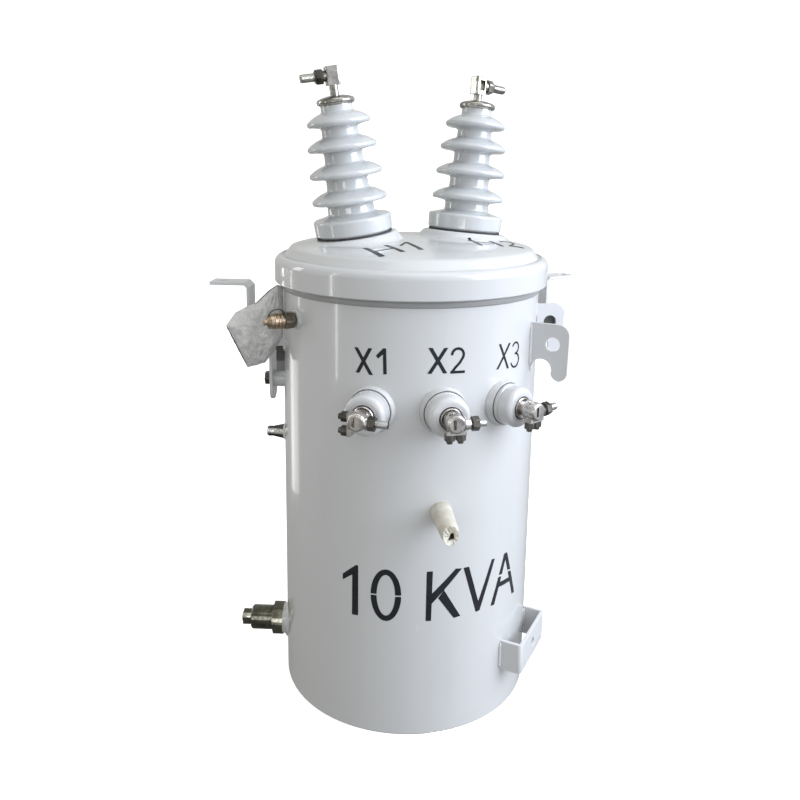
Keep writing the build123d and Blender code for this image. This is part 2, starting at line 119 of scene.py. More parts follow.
def lathe(profile, m, seg=96, wobble=None):
    """Closed solid of revolution. profile is (radius, height) in mm from axis to axis; m places it."""
    verts, faces = [], []
    rings = []
    for k, (r, z) in enumerate(profile):
        if r < 1e-6:
            rings.append([len(verts)])
            verts.append(m @ (Vector((0, 0, z)) * MM))
        else:
            ring = []
            for i in range(seg):
                a = 2 * math.pi * i / seg
                rr, zz = (r, z) if wobble is None else wobble(k, a, r, z)
                ring.append(len(verts))
                verts.append(m @ (Vector((rr * math.cos(a), rr * math.sin(a), zz)) * MM))
            rings.append(ring)
    for a, b in zip(rings, rings[1:]):
        if len(a) == 1 and len(b) == 1:
            continue
        for i in range(seg):
            j = (i + 1) % seg
            if len(a) == 1:
                faces.append([a[0], b[i], b[j]])
            elif len(b) == 1:
                faces.append([a[i], b[0], a[j]])
            else:
                faces.append([a[i], b[i], b[j], a[j]])
    return verts, faces


def tube(points, radii, seg=12, closed=False, squash=None):
    """Round tube through points (metres). radii in mm, one number or one a point."""
    pts = [Vector(p) for p in points]
    n = len(pts)
    radii = [radii] * n if isinstance(radii, (int, float)) else radii
    verts, faces = [], []
    tangents = []
    for i in range(n):
        a = pts[(i - 1) % n] if closed or i > 0 else pts[i]
        b = pts[(i + 1) % n] if closed or i < n - 1 else pts[i]
        tangents.append((b - a).normalized())
    up = Vector((0, 0, 1)) if abs(tangents[0].z) < 0.9 else Vector((1, 0, 0))
    side = tangents[0].cross(up).normalized()
    for i in range(n):
        t = tangents[i]
        side = (side - t * side.dot(t)).normalized()
        other = t.cross(side)
        for k in range(seg):
            a = 2 * math.pi * k / seg
            verts.append(pts[i] + (side * math.cos(a) + other * math.sin(a)) * radii[i] * MM)
    last = n if closed else n - 1
    for i in range(last):
        j = (i + 1) % n
        for k in range(seg):
            l = (k + 1) % seg
            faces.append([i * seg + k, i * seg + l, j * seg + l, j * seg + k])
    if not closed:
        faces.append(list(range(seg))[::-1])
        faces.append([(n - 1) * seg + k for k in range(seg)])
    return verts, faces


def thread(m, r, z0, z1, pitch=1.75, depth=0.55, seg=28, steps=None):
    """Threaded sleeve round a rod: a helical ridge standing depth mm proud of radius r."""
    rows = int((z1 - z0) / pitch * 6)
    verts, faces = [], []
    for j in range(rows + 1):
        z = z0 + (z1 - z0) * j / rows
        for i in range(seg):
            a = 2 * math.pi * i / seg
            ph = (z / pitch - i / seg) % 1.0
            ridge = 1.0 - abs(2 * ph - 1.0)
            edge = min(1.0, (z - z0) / pitch, (z1 - z) / pitch)
            rr = r + 0.05 + depth * ridge * max(edge, 0.0)
            verts.append(m @ (Vector((rr * math.cos(a), rr * math.sin(a), z)) * MM))
    for j in range(rows):
        for i in range(seg):
            k = (i + 1) % seg
            faces.append([j * seg + i, j * seg + k, (j + 1) * seg + k, (j + 1) * seg + i])
    faces.append(list(range(seg))[::-1])
    faces.append([rows * seg + k for k in range(seg)])
    return verts, faces


# ---------------------------------------------------------------- materials


class Mat:
    """Small helper that wires a Principled material out of noise, ramps and bumps."""

    def __init__(self, name):
        self.m = bpy.data.materials.new(name)
        self.m.use_nodes = True
        self.t = self.m.node_tree
        self.t.nodes.clear()
        self.out = self.t.nodes.new("ShaderNodeOutputMaterial")
        self.p = self.t.nodes.new("ShaderNodeBsdfPrincipled")
        self.t.links.new(self.p.outputs[0], self.out.inputs[0])
        self.co = self.t.nodes.new("ShaderNodeTexCoord")
        self.normal = None

    def set(self, **kw):
        for k, v in kw.items():
            self.p.inputs[k.replace("_", " ")].default_value = v

    def link(self, a, b):
        self.t.links.new(a, b)

    def noise(self, scale, detail=3.0, rough=0.5, stretch=(1, 1, 1), distortion=0.0):
        mp = self.t.nodes.new("ShaderNodeMapping")
        mp.inputs["Scale"].default_value = stretch
        self.link(self.co.outputs["Object"], mp.inputs[0])
        n = self.t.nodes.new("ShaderNodeTexNoise")
        n.inputs["Scale"].default_value = scale
        n.inputs["Detail"].default_value = detail
        n.inputs["Roughness"].default_value = rough
        n.inputs["Distortion"].default_value = distortion
        self.link(mp.outputs[0], n.inputs["Vector"])
        return n.outputs["Fac"]

    def voronoi(self, scale, stretch=(1, 1, 1), feature="F1"):
        mp = self.t.nodes.new("ShaderNodeMapping")
        mp.inputs["Scale"].default_value = stretch
        self.link(self.co.outputs["Object"], mp.inputs[0])
        n = self.t.nodes.new("ShaderNodeTexVoronoi")
        n.feature = feature
        n.inputs["Scale"].default_value = scale
        self.link(mp.outputs[0], n.inputs["Vector"])
        return n.outputs["Distance"]

    def ramp(self, fac, stops, interpolation="LINEAR"):
        r = self.t.nodes.new("ShaderNodeValToRGB")
        r.color_ramp.interpolation = interpolation
        els = r.color_ramp.elements
        while len(els) > 1:
            els.remove(els[-1])
        els[0].position, els[0].color = stops[0][0], self.rgba(stops[0][1])
        for pos, c in stops[1:]:
            e = els.new(pos)
            e.color = self.rgba(c)
        self.link(fac, r.inputs[0])
        return r.outputs[0]

    @staticmethod
    def rgba(c):
        if isinstance(c, (int, float)):
            return (c, c, c, 1)
        return tuple(c) if len(c) == 4 else (*c, 1)

    def mix(self, fac, a, b, blend="MIX"):
        n = self.t.nodes.new("ShaderNodeMix")
        n.data_type = "RGBA"
        n.blend_type = blend
        if isinstance(fac, (int, float)):
            n.inputs[0].default_value = fac
        else:
            self.link(fac, n.inputs[0])
        for i, v in ((6, a), (7, b)):
            if isinstance(v, (tuple, list)):
                n.inputs[i].default_value = self.rgba(v)
            else:
                self.link(v, n.inputs[i])
        return n.outputs[2]

    def math(self, op, a, b=None):
        n = self.t.nodes.new("ShaderNodeMath")
        n.operation = op
        for i, v in ((0, a), (1, b)):
            if v is None:
                continue
            if isinstance(v, (int, float)):
                n.inputs[i].default_value = v
            else:
                self.link(v, n.inputs[i])
        return n.outputs[0]

    def bump(self, height, strength, distance):
        b = self.t.nodes.new("ShaderNodeBump")
        b.inputs["Strength"].default_value = strength
        b.inputs["Distance"].default_value = distance
        self.link(height, b.inputs["Height"])
        if self.normal is not None:
            self.link(self.normal, b.inputs["Normal"])
        self.normal = b.outputs[0]
        self.link(self.normal, self.p.inputs["Normal"])

    def height_band(self, z0, z1):
        """0 below z0, 1 above z1, in metres along the object's height."""
        sep = self.t.nodes.new("ShaderNodeSeparateXYZ")
        self.link(self.co.outputs["Object"], sep.inputs[0])
        mr = self.t.nodes.new("ShaderNodeMapRange")
        mr.interpolation_type = "SMOOTHSTEP"
        mr.inputs["From Min"].default_value = z0
        mr.inputs["From Max"].default_value = z1
        self.link(sep.outputs[2], mr.inputs["Value"])
        return mr.outputs[0]


def enamel(name, base, dark, rough=0.2, wave=0.5, grime=0.35, coat=0.6):
    """Sprayed gloss enamel: faint cloudiness, orange peel, low waves in the sheet, dusty streaks and dark specks."""
    m = Mat(name)
    cloud = m.noise(4.0, 4.0, 0.55)
    c = m.ramp(cloud, [(0.30, dark), (0.62, base)])
    streak = m.noise(9.0, 5.0, 0.6, stretch=(1.0, 1.0, 0.22))
    c = m.mix(m.ramp(streak, [(0.50, 0.0), (0.74, grime)]), c, tuple(x * y for x, y in zip(base, (0.86, 0.85, 0.82))))
    speck = m.voronoi(230.0)
    mask = m.math("MULTIPLY", m.ramp(speck, [(0.0, 1.0), (0.10, 0.0)], "EASE"), m.ramp(m.noise(14.0, 2.0), [(0.58, 0.0), (0.66, 0.55)]))
    c = m.mix(mask, c, (0.30, 0.285, 0.26))
    m.link(c, m.p.inputs["Base Color"])
    m.link(m.ramp(m.noise(22.0, 4.0, 0.6), [(0.3, rough * 0.8), (0.75, rough * 1.45)]), m.p.inputs["Roughness"])
    m.set(Coat_Weight=coat, Coat_Roughness=0.06, IOR=1.5, Coat_IOR=1.5)
    m.bump(m.noise(7.5, 2.0, 0.45), wave, 0.0016)
    m.bump(m.noise(520.0, 2.0, 0.5), 0.045, 0.0006)
    return m.m


def metal(name, base, dark, rough, brush=0.25, pit=0.25, stretch=(1, 1, 1), wear_and_painted_highlight=None, root=None):
    """Plated or bare metal with brushed grain, dull clouds of oxide and small dents.

    root = (radius, colour) darkens what lies nearer than radius to the tank axis: painted shade at the part's foot,
    where it meets the wall.
    wear_and_painted_highlight = (z0, z1, colour) paints a band of that colour between two heights, broken up by noise:
    a painted highlight."""
    m = Mat(name)
    c = m.ramp(m.noise(55.0, 5.0, 0.6), [(0.32, dark), (0.60, base)])
    spots = m.ramp(m.noise(310.0, 3.0, 0.6), [(0.60, 0.0), (0.72, 0.6)])
    c = m.mix(spots, c, tuple(x * 0.55 for x in dark))
    # painted highlight: a band of the given colour between heights z0 and z1, broken up by noise
    if wear_and_painted_highlight:
        z0, z1, bright = wear_and_painted_highlight
        mask = m.math("SUBTRACT", m.height_band(z0 - 0.0012, z0 + 0.0006), m.height_band(z1 - 0.0006, z1 + 0.0012))
        highlight_breakup = m.ramp(m.noise(210.0, 3.0, 0.6), [(0.36, 0.45), (0.60, 1.0)])
        c = m.mix(m.math("MULTIPLY", mask, highlight_breakup), c, bright)
    # painted shade: the part is darker where it lies near the tank wall, at its foot
    if root:
        flat = m.t.nodes.new("ShaderNodeVectorMath")
        flat.operation = "MULTIPLY"
        m.link(m.co.outputs["Object"], flat.inputs[0])
        flat.inputs[1].default_value = (1.0, 1.0, 0.0)
        away = m.t.nodes.new("ShaderNodeVectorMath")
        away.operation = "LENGTH"
        m.link(flat.outputs[0], away.inputs[0])
        near = m.math("LESS_THAN", away.outputs["Value"], root[0])
        foot_shade_breakup = m.ramp(m.noise(140.0, 3.0, 0.6), [(0.30, 0.55), (0.62, 1.0)])
        c = m.mix(m.math("MULTIPLY", near, foot_shade_breakup), c, root[1])
    m.link(c, m.p.inputs["Base Color"])
    m.link(m.ramp(m.noise(120.0, 4.0, 0.6), [(0.25, rough * 0.7), (0.8, rough * 1.5)]), m.p.inputs["Roughness"])
    m.set(Metallic=1.0)
    m.bump(m.noise(900.0, 2.0, 0.5, stretch=stretch), brush, 0.0003)
    m.bump(m.noise(150.0, 3.0, 0.5), pit, 0.0006)
    return m.m


def glaze(name, base, dark, rough, warm):
    """Fired glaze over porcelain: pooled tint, fine speckle, faint drips."""
    m = Mat(name)
    c = m.ramp(m.noise(16.0, 4.0, 0.5, stretch=(1, 1, 0.45)), [(0.30, dark), (0.65, base)])
    c = m.mix(m.ramp(m.noise(60.0, 3.0, 0.6), [(0.55, 0.0), (0.80, 0.35)]), c, warm)
    speck = m.ramp(m.voronoi(330.0), [(0.0, 0.8), (0.07, 0.0)])
    mask = m.math("MULTIPLY", speck, m.ramp(m.noise(35.0, 2.0), [(0.55, 0.0), (0.62, 0.7)]))
    c = m.mix(mask, c, (0.20, 0.19, 0.17))
    m.link(c, m.p.inputs["Base Color"])
    m.link(m.ramp(m.noise(40.0, 3.0), [(0.3, rough), (0.8, rough * 2.0)]), m.p.inputs["Roughness"])
    m.set(Coat_Weight=0.9, Coat_Roughness=0.04, IOR=1.53, Coat_IOR=1.5)
    m.bump(m.noise(38.0, 2.0, 0.4), 0.35, 0.0012)
    m.bump(m.noise(420.0, 2.0, 0.5), 0.05, 0.0004)
    return m.m


paint = enamel("tank_enamel", (0.575, 0.58, 0.585), (0.56, 0.565, 0.565), rough=0.19, wave=0.28)
band_paint = enamel("band_enamel", (0.565, 0.57, 0.575), (0.54, 0.545, 0.55), rough=0.17, wave=0.20)
bracket_paint = enamel("bracket_enamel", (0.62, 0.625, 0.635), (0.58, 0.585, 0.59), rough=0.30, wave=0.8, grime=0.5, coat=0.35)
zinc = metal("zinc_plated_steel", (0.63, 0.63, 0.62), (0.42, 0.42, 0.41), 0.30)
dark_steel = metal("oiled_steel", (0.17, 0.165, 0.15), (0.075, 0.07, 0.062), 0.34, pit=0.4)
tinned = metal("tinned_metal", (0.50, 0.485, 0.445), (0.22, 0.21, 0.185), 0.16, brush=0.08, pit=0.08)
bright_rod = metal("plated_rod", (0.42, 0.41, 0.37), (0.20, 0.19, 0.16), 0.20, brush=0.10, pit=0.12)
cast_tin = metal("cast_tinned", (0.70, 0.67, 0.64), (0.34, 0.32, 0.30), 0.24, brush=0.12, pit=0.45)
# the valve's foot, within 211.5 mm of the tank axis, is darkened: painted shade where it meets the wall
brass = metal("aged_brass", (0.50, 0.38, 0.27), (0.17, 0.15, 0.12), 0.27, pit=0.4, root=(0.2115, (0.20, 0.175, 0.135)))
# drain valve: dark nickel with a light band painted across it just above its axis, a painted highlight
nickel = metal("olive_nickel", (0.155, 0.152, 0.115), (0.06, 0.058, 0.044), 0.18, brush=0.08, pit=0.06, wear_and_painted_highlight=(0.0672, 0.0716, (0.66, 0.65, 0.56)))
# ground stud: dark steel with a near-white band painted across it at its axis height, a painted highlight
stud_steel = metal("stud_steel", (0.11, 0.11, 0.10), (0.05, 0.05, 0.045), 0.16, brush=0.08, pit=0.06, wear_and_painted_highlight=(0.3835, 0.3905, (0.86, 0.86, 0.84)))
porcelain = glaze("grey_glaze", (0.535, 0.55, 0.56), (0.455, 0.47, 0.48), 0.13, (0.50, 0.50, 0.47))
cream = glaze("cream_glaze", (0.60, 0.60, 0.605), (0.50, 0.50, 0.51), 0.15, (0.56, 0.54, 0.51))


def bolt_material(name, origin, axis, radius):
    """Dark nut and washer, brighter rod: the rod is what lies within radius (metres) of its axis."""
    m = Mat(name)
    near = m.t.nodes.new("ShaderNodeVectorMath")
    near.operation = "SUBTRACT"
    m.link(m.co.outputs["Object"], near.inputs[0])
    near.inputs[1].default_value = origin
    cross = m.t.nodes.new("ShaderNodeVectorMath")
    cross.operation = "CROSS_PRODUCT"
    m.link(near.outputs[0], cross.inputs[0])
    cross.inputs[1].default_value = axis
    length = m.t.nodes.new("ShaderNodeVectorMath")
    length.operation = "LENGTH"
    m.link(cross.outputs[0], length.inputs[0])
    nut = m.math("GREATER_THAN", length.outputs["Value"], radius)
    steel = m.ramp(m.noise(70.0, 5.0, 0.6), [(0.32, (0.055, 0.05, 0.042)), (0.62, (0.15, 0.14, 0.12))])
    rod = m.ramp(m.noise(60.0, 4.0, 0.6), [(0.32, (0.20, 0.19, 0.16)), (0.62, (0.38, 0.37, 0.33))])
    m.link(m.mix(nut, rod, steel), m.p.inputs["Base Color"])
    m.link(m.ramp(m.noise(120.0, 4.0, 0.6), [(0.25, 0.16), (0.8, 0.34)]), m.p.inputs["Roughness"])
    m.set(Metallic=1.0)
    m.bump(m.noise(420.0, 3.0, 0.5), 0.15, 0.0003)
    return m.m


def rubber_material():
    m = Mat("gasket_rubber")
    c = m.ramp(m.noise(160.0, 4.0, 0.6), [(0.35, (0.018, 0.018, 0.019)), (0.8, (0.05, 0.05, 0.05))])
    m.link(c, m.p.inputs["Base Color"])
    m.link(m.ramp(m.noise(90.0, 3.0), [(0.3, 0.55), (0.8, 0.8)]), m.p.inputs["Roughness"])
    m.bump(m.noise(500.0, 3.0, 0.6), 0.3, 0.0004)
    return m.m


def stencil_material():
    m = Mat("stencil_black")
    c = m.ramp(m.noise(30.0, 5.0, 0.6), [(0.3, (0.006, 0.008, 0.011)), (0.75, (0.014, 0.017, 0.022))])
    m.p.inputs["Specular IOR Level"].default_value = 0.35
    # lighter flecks where the stencil paint has flaked thin
    wear_and_painted_highlight = m.ramp(m.noise(260.0, 4.0, 0.7), [(0.70, 0.0), (0.82, 0.4)])
    c = m.mix(wear_and_painted_highlight, c, (0.11, 0.11, 0.12))
    m.link(c, m.p.inputs["Base Color"])
    m.link(m.ramp(m.noise(45.0, 3.0), [(0.3, 0.28), (0.8, 0.45)]), m.p.inputs["Roughness"])
    m.bump(m.noise(420.0, 2.0, 0.5), 0.12, 0.0004)
    return m.m


def film_material():
    m = Mat("packing_film")
    blot = m.noise(26.0, 5.0, 0.6, distortion=1.2)
    c = m.ramp(blot, [(0.32, (0.47, 0.47, 0.455)), (0.58, (0.61, 0.61, 0.595)), (0.78, (0.80, 0.79, 0.77))])
    crumple = m.ramp(m.noise(130.0, 4.0, 0.65, distortion=2.0), [(0.50, 0.0), (0.72, 0.55)])
    c = m.mix(crumple, c, (0.86, 0.85, 0.83))
    m.link(c, m.p.inputs["Base Color"])
    m.link(m.ramp(m.noise(70.0, 3.0, 0.5), [(0.3, 0.18), (0.8, 0.42)]), m.p.inputs["Roughness"])
    m.link(m.ramp(m.noise(18.0, 3.0, 0.5), [(0.3, 0.80), (0.7, 0.97)]), m.p.inputs["Alpha"])
    m.set(Coat_Weight=0.5, Coat_Roughness=0.12, IOR=1.46)
    m.bump(m.noise(60.0, 4.0, 0.6, distortion=1.5), 0.7, 0.0016)
    m.bump(m.noise(240.0, 3.0, 0.6, distortion=1.0), 0.45, 0.0006)
    return m.m


def tape_material():
    m = Mat("cream_tape")
    c = m.ramp(m.noise(60.0, 5.0, 0.6), [(0.3, (0.47, 0.445, 0.36)), (0.7, (0.66, 0.64, 0.57))])
    c = m.mix(m.ramp(m.noise(300.0, 4.0, 0.7), [(0.55, 0.0), (0.75, 0.5)]), c, (0.50, 0.46, 0.36))
    m.link(c, m.p.inputs["Base Color"])
    m.link(m.ramp(m.noise(120.0, 3.0), [(0.3, 0.55), (0.8, 0.75)]), m.p.inputs["Roughness"])
    m.set(Subsurface_Weight=0.06)
    m.bump(m.noise(190.0, 4.0, 0.6), 0.5, 0.0008)
    return m.m


rubber, stencil, film, tape = rubber_material(), stencil_material(), film_material(), tape_material()


# near-black material for the tap stub's mouth: painted shade in the recess
def mouth_shade_material():
    m = Mat("tap_mouth_painted_shade")
    m.link(m.ramp(m.noise(90.0, 3.0), [(0.3, (0.03, 0.025, 0.02)), (0.8, (0.09, 0.075, 0.055))]), m.p.inputs["Base Color"])
    m.set(Roughness=0.8)
    m.bump(m.noise(300.0, 3.0, 0.6), 0.3, 0.0004)
    return m.m


mouth_shade = mouth_shade_material()

NODE_MATERIAL = {
    "tank_bottom": paint, "tank_wall": paint, "tank_lip": paint, "cover": paint, "cover_band": band_paint, "band_bolt": zinc,
    "hv_gaskets": rubber, "lv_eyebolts": dark_steel, "lv_clamp_nuts": dark_steel, "tap_changer_stub": tape,
    "relief_valve_boss": paint, "relief_valve": brass, "drain_boss": paint, "drain_valve": nickel, "ground_pad": paint, "ground_stud": stud_steel,
    "hook_plate_front": bracket_paint, "lifting_lug_left": bracket_paint, "lifting_lug_right": bracket_paint, "lower_strap": bracket_paint,
    "arrester_bracket_left": bracket_paint, "arrester_bracket_right": bracket_paint, "arrester_bosses": paint, "arrester_bolts": dark_steel,
    "film_wrap": film,
}
for n in (1, 2):
    NODE_MATERIAL.update({f"hv_porcelain_{n}": porcelain, f"hv_cap_{n}": tinned, f"hv_eye_clamp_{n}": tinned, f"hv_clamp_bolt_{n}": dark_steel})
for n in (1, 2, 3):
    NODE_MATERIAL.update({f"lv_collar_{n}": paint, f"lv_porcelain_{n}": cream, f"lv_stud_{n}": cast_tin, f"lv_clamp_{n}": cast_tin})

SOFT_EDGES = {"hook_plate_front": 0.9, "lifting_lug_right": 0.9, "lifting_lug_left": 0.9, "lower_strap": 0.9, "arrester_bracket_left": 0.8,
              "arrester_bracket_right": 0.8, "hv_eye_clamp_1": 0.6, "hv_eye_clamp_2": 0.6, "lv_clamp_1": 0.7, "lv_clamp_2": 0.7, "lv_clamp_3": 0.7,
              "hv_clamp_bolt_1": 0.35, "hv_clamp_bolt_2": 0.35, "lv_eyebolts": 0.35, "lv_clamp_nuts": 0.35, "drain_valve": 0.5,
              "arrester_bolts": 0.4, "relief_valve": 0.4}
for name, o in NODES.items():
    o.data.materials.clear()
    o.data.materials.append(NODE_MATERIAL[name])
    if name in SOFT_EDGES:
        weld = o.modifiers.new("weld", "WELD")
        weld.merge_threshold = 2e-5
        bevel = o.modifiers.new("bevel", "BEVEL")
        bevel.width = SOFT_EDGES[name] * MM
        bevel.segments = 2
        bevel.limit_method = "ANGLE"
        bevel.angle_limit = math.radians(38)
        bevel.harden_normals = False
        bevel.use_clamp_overlap = True

# -------------------------------------------------------------- cover sheet
HV = {1: dict(d=88.0, phi=-83.5, tilt=8.6, bolt_phi=-84.0, eye=14.0, shank=35.5, lean=0.0),
      2: dict(d=94.5, phi=108.5, tilt=5.5, bolt_phi=115.0, eye=10.0, shank=41.0, lean=0.8)}
SEAT_Z, GASKET_T = 699.0, 2.6
SEATS = {}
HV_BOLT = {}
for n, h in HV.items():
    a, t = math.radians(h["phi"]), math.radians(h["tilt"])
    out = Vector((math.sin(a), -math.cos(a), 0))
    u = out * math.sin(t) + Vector((0, 0, math.cos(t)))
    SEATS[n] = (out * h["d"] + Vector((0, 0, SEAT_Z)), u, out)
    az = math.radians(h["bolt_phi"])
    b = Vector((math.sin(az), -math.cos(az), 0))
    xb = (b - u * b.dot(u)).normalized()
    HV_BOLT[n] = (SEATS[n][0] + u * (180.0 + 13.0 + h["eye"] + 13.0) + xb * 9.5 + Vector((-0.974, 0.225, 0)) * h["lean"], xb, u)
bolt_look = bolt_material("hv_bolt_steel", HV_BOLT[1][0] * MM, HV_BOLT[1][1], 0.0062)
NODES["hv_clamp_bolt_1"].data.materials[0] = bolt_look
NODES["hv_clamp_bolt_2"].data.materials[0] = bright_rod

DOME = [(0, 692.5), (45, 692.1), (85, 690.6), (120, 688.0), (150, 684.6), (166, 682.0), (174.5, 679.2)]


def dome_z(r):
    return float(np.interp(r, DOME_R, DOME_Z))


_r = np.linspace(0, 174.5, 350)
_c = np.polyfit([p[0] for p in DOME] + [-p[0] for p in DOME[1:]], [p[1] for p in DOME] + [p[1] for p in DOME[1:]], 6)
DOME_R, DOME_Z = _r, np.polyval(_c, _r)


def smoothstep(a, b, x):
    t = min(1.0, max(0.0, (x - a) / (b - a)))
    return t * t * (3 - 2 * t)


def cover_z(x, y):
    """Height in mm of the cover's top sheet, dome and both bushing seats, at a point in mm."""
    r = math.hypot(x, y)
    z = dome_z(min(r, 174.5))
    for foot, u, out in SEATS.values():
        p0 = foot - u * GASKET_T
        zp = p0.z - (u.x * (x - p0.x) + u.y * (y - p0.y)) / u.z
        d = Vector((x, y, zp)) - p0
        rho = (d - u * d.dot(u)).length
        w = 1.0 - smoothstep(58.6, 73.0, rho)
        if w > 0:
            shoulder = 0.5 * w * (1 - w) * 4
            z = z * (1 - w) + (zp + 0.0 * shoulder) * w
    return z


def build_cover():
    seg = 288
    outer = [(198.0, 645.0), (198.0, 648.0), (192.0, 648.0), (191.6, 652.0), (191.2, 659.0), (189.8, 662.6), (188.0, 664.8), (186.6, 666.6), (184.6, 669.4),
             (182.8, 671.8), (181.4, 673.8), (180.1, 675.8), (178.9, 677.2), (177.2, 678.4)]
    inner_r = [174.5 * (1 - k / 76) for k in range(76)]
    verts, faces, rings = [], [], []
    for r, z in outer:
        rings.append([len(verts) + i for i in range(seg)])
        for i in range(seg):
            a = 2 * math.pi * i / seg
            verts.append(Vector((r * math.cos(a), r * math.sin(a), z)) * MM)
    for r in inner_r:
        rings.append([len(verts) + i for i in range(seg)])
        for i in range(seg):
            a = 2 * math.pi * i / seg
            x, y = r * math.cos(a), r * math.sin(a)
            verts.append(Vector((x, y, cover_z(x, y))) * MM)
    top = len(verts)
    verts.append(Vector((0, 0, cover_z(0, 0))) * MM)
    for a, b in zip(rings, rings[1:]):
        for i in range(seg):
            j = (i + 1) % seg
            faces.append([a[i], a[j], b[j], b[i]])
    for i in range(seg):
        faces.append([rings[-1][i], rings[-1][(i + 1) % seg], top])
    base = len(verts)
    verts.append(Vector((0, 0, 645.0)) * MM)
    for i in range(seg):
        faces.append([rings[0][(i + 1) % seg], rings[0][i], base])
    o = make_object("cover_sheet", verts, faces, paint)
    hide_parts("cover")
    return o


cover_sheet = build_cover()
v, f = lathe([(187.2, 661.5), (191.9, 661.5), (191.9, 664.6), (190.2, 664.9), (187.2, 665.9), (187.2, 661.5)], Matrix.Identity(4), 240)
make_object("cover_seam", v, f, paint)
# dark ring all round, just under the band's lower edge: painted shade where the band shades the wall
band_shadow_paint = enamel("band_shadow_enamel", (0.32, 0.32, 0.322), (0.30, 0.30, 0.302), rough=0.4, wave=0.2, coat=0.1)
v, f = lathe([(190.12, 618.6), (191.2, 618.2), (191.9, 619.2), (191.9, 630.4), (190.12, 630.4), (190.12, 618.6)], Matrix.Identity(4), 300)
make_object("band_shadow_ring", v, f, band_shadow_paint)

# -------------------------------------------------------- stencil lettering


def poly_sd(P, poly):
    """Signed distance (negative inside) of points P to a polygon."""
    poly = np.array(poly, float)
    n = len(poly)
    best = np.full(len(P), 1e18)
    inside = np.zeros(len(P), bool)
    for i in range(n):
        a, b = poly[i], poly[(i + 1) % n]
        e, w = b - a, P - a
        t = np.clip((w @ e) / max(e @ e, 1e-12), 0, 1)
        best = np.minimum(best, ((w - np.outer(t, e)) ** 2).sum(1))
        cond = (a[1] > P[:, 1]) != (b[1] > P[:, 1])
        with np.errstate(divide="ignore", invalid="ignore"):
            xx = (b[0] - a[0]) * (P[:, 1] - a[1]) / (b[1] - a[1]) + a[0]
        inside ^= cond & (P[:, 0] < xx)
    d = np.sqrt(best)
    return np.where(inside, -d, d)


def stroke_sd(P, pts, w):
    """Signed distance to a line through pts, w wide, with blunt ends slightly rounded."""
    best = np.full(len(P), 1e9)
    pts = [np.array(p, float) for p in pts]
    for a, b in zip(pts, pts[1:]):
        e = b - a
        t = np.clip(((P - a) @ e) / max(e @ e, 1e-12), 0, 1)
        best = np.minimum(best, np.sqrt(((P - a - np.outer(t, e)) ** 2).sum(1)))
    return best - w / 2


def ellipse_ring(P, c, ro, ri):
    q = P - np.array(c)
    ko = np.sqrt((q[:, 0] / ro[0]) ** 2 + (q[:, 1] / ro[1]) ** 2)
    ki = np.sqrt((q[:, 0] / ri[0]) ** 2 + (q[:, 1] / ri[1]) ** 2)
    return np.maximum((ko - 1) * min(ro), (1 - ki) * min(ri))


def arc_points(c, rx, ry, a0, a1, n=22):
    return [(c[0] + rx * math.cos(math.radians(a0 + (a1 - a0) * k / n)), c[1] + ry * math.sin(math.radians(a0 + (a1 - a0) * k / n))) for k in range(n + 1)]


def rating_shapes(P):
    one = poly_sd(P, [(-110.2, 179.4), (-110.4, 254.8), (-114.0, 254.8), (-134.6, 237.0), (-134.6, 228.2), (-119.4, 239.4), (-119.6, 178.6)])
    zero = ellipse_ring(P, (-70.4, 216.2), (21.4, 38.6), (12.9, 30.4))
    zero = np.maximum(zero, -poly_sd(P, [(-95, 214.6), (-45, 215.4), (-45, 217.4), (-95, 216.6)]))
    k = poly_sd(P, [(-14.7, 178.3), (-7.0, 178.3), (-6.0, 252.6), (-14.5, 252.6)])
    k = np.minimum(k, poly_sd(P, [(-6.6, 204.0), (-6.4, 219.4), (27.2, 252.4), (36.4, 251.2)]))
    k = np.minimum(k, poly_sd(P, [(2.4, 211.6), (10.6, 222.6), (36.3, 179.1), (26.0, 177.9)]))
    v = poly_sd(P, [(39.0, 251.3), (47.8, 251.3), (65.4, 194.0), (88.2, 251.4), (94.4, 250.8), (68.2, 179.2), (61.6, 178.4)])
    a = poly_sd(P, [(115.4, 250.8), (122.4, 250.8), (148.9, 176.4), (141.0, 177.0), (118.8, 241.0), (96.6, 178.0), (89.2, 178.8)])
    a = np.minimum(a, poly_sd(P, [(101.5, 202.6), (132.6, 201.0), (130.2, 208.4), (103.4, 209.9)]))
    a = np.maximum(a, -poly_sd(P, [(98, 219.6), (112.4, 217.2), (112.4, 220.4), (98, 222.8)]))
    a = np.maximum(a, -poly_sd(P, [(120, 220.0), (138, 216.4), (138, 219.0), (120, 222.8)]))
    return np.minimum.reduce([one, zero, k, v, a])


def x_mark(P, tl, tr, bl, br, w=5.2):
    return np.minimum(poly_sd(P, [(tl[0] - w / 2, tl[1]), (tl[0] + w / 2, tl[1]), (br[0] + w / 2, br[1]), (br[0] - w / 2, br[1])]),
                      poly_sd(P, [(tr[0] - w / 2, tr[1]), (tr[0] + w / 2, tr[1]), (bl[0] + w / 2, bl[1]), (bl[0] - w / 2, bl[1])]))


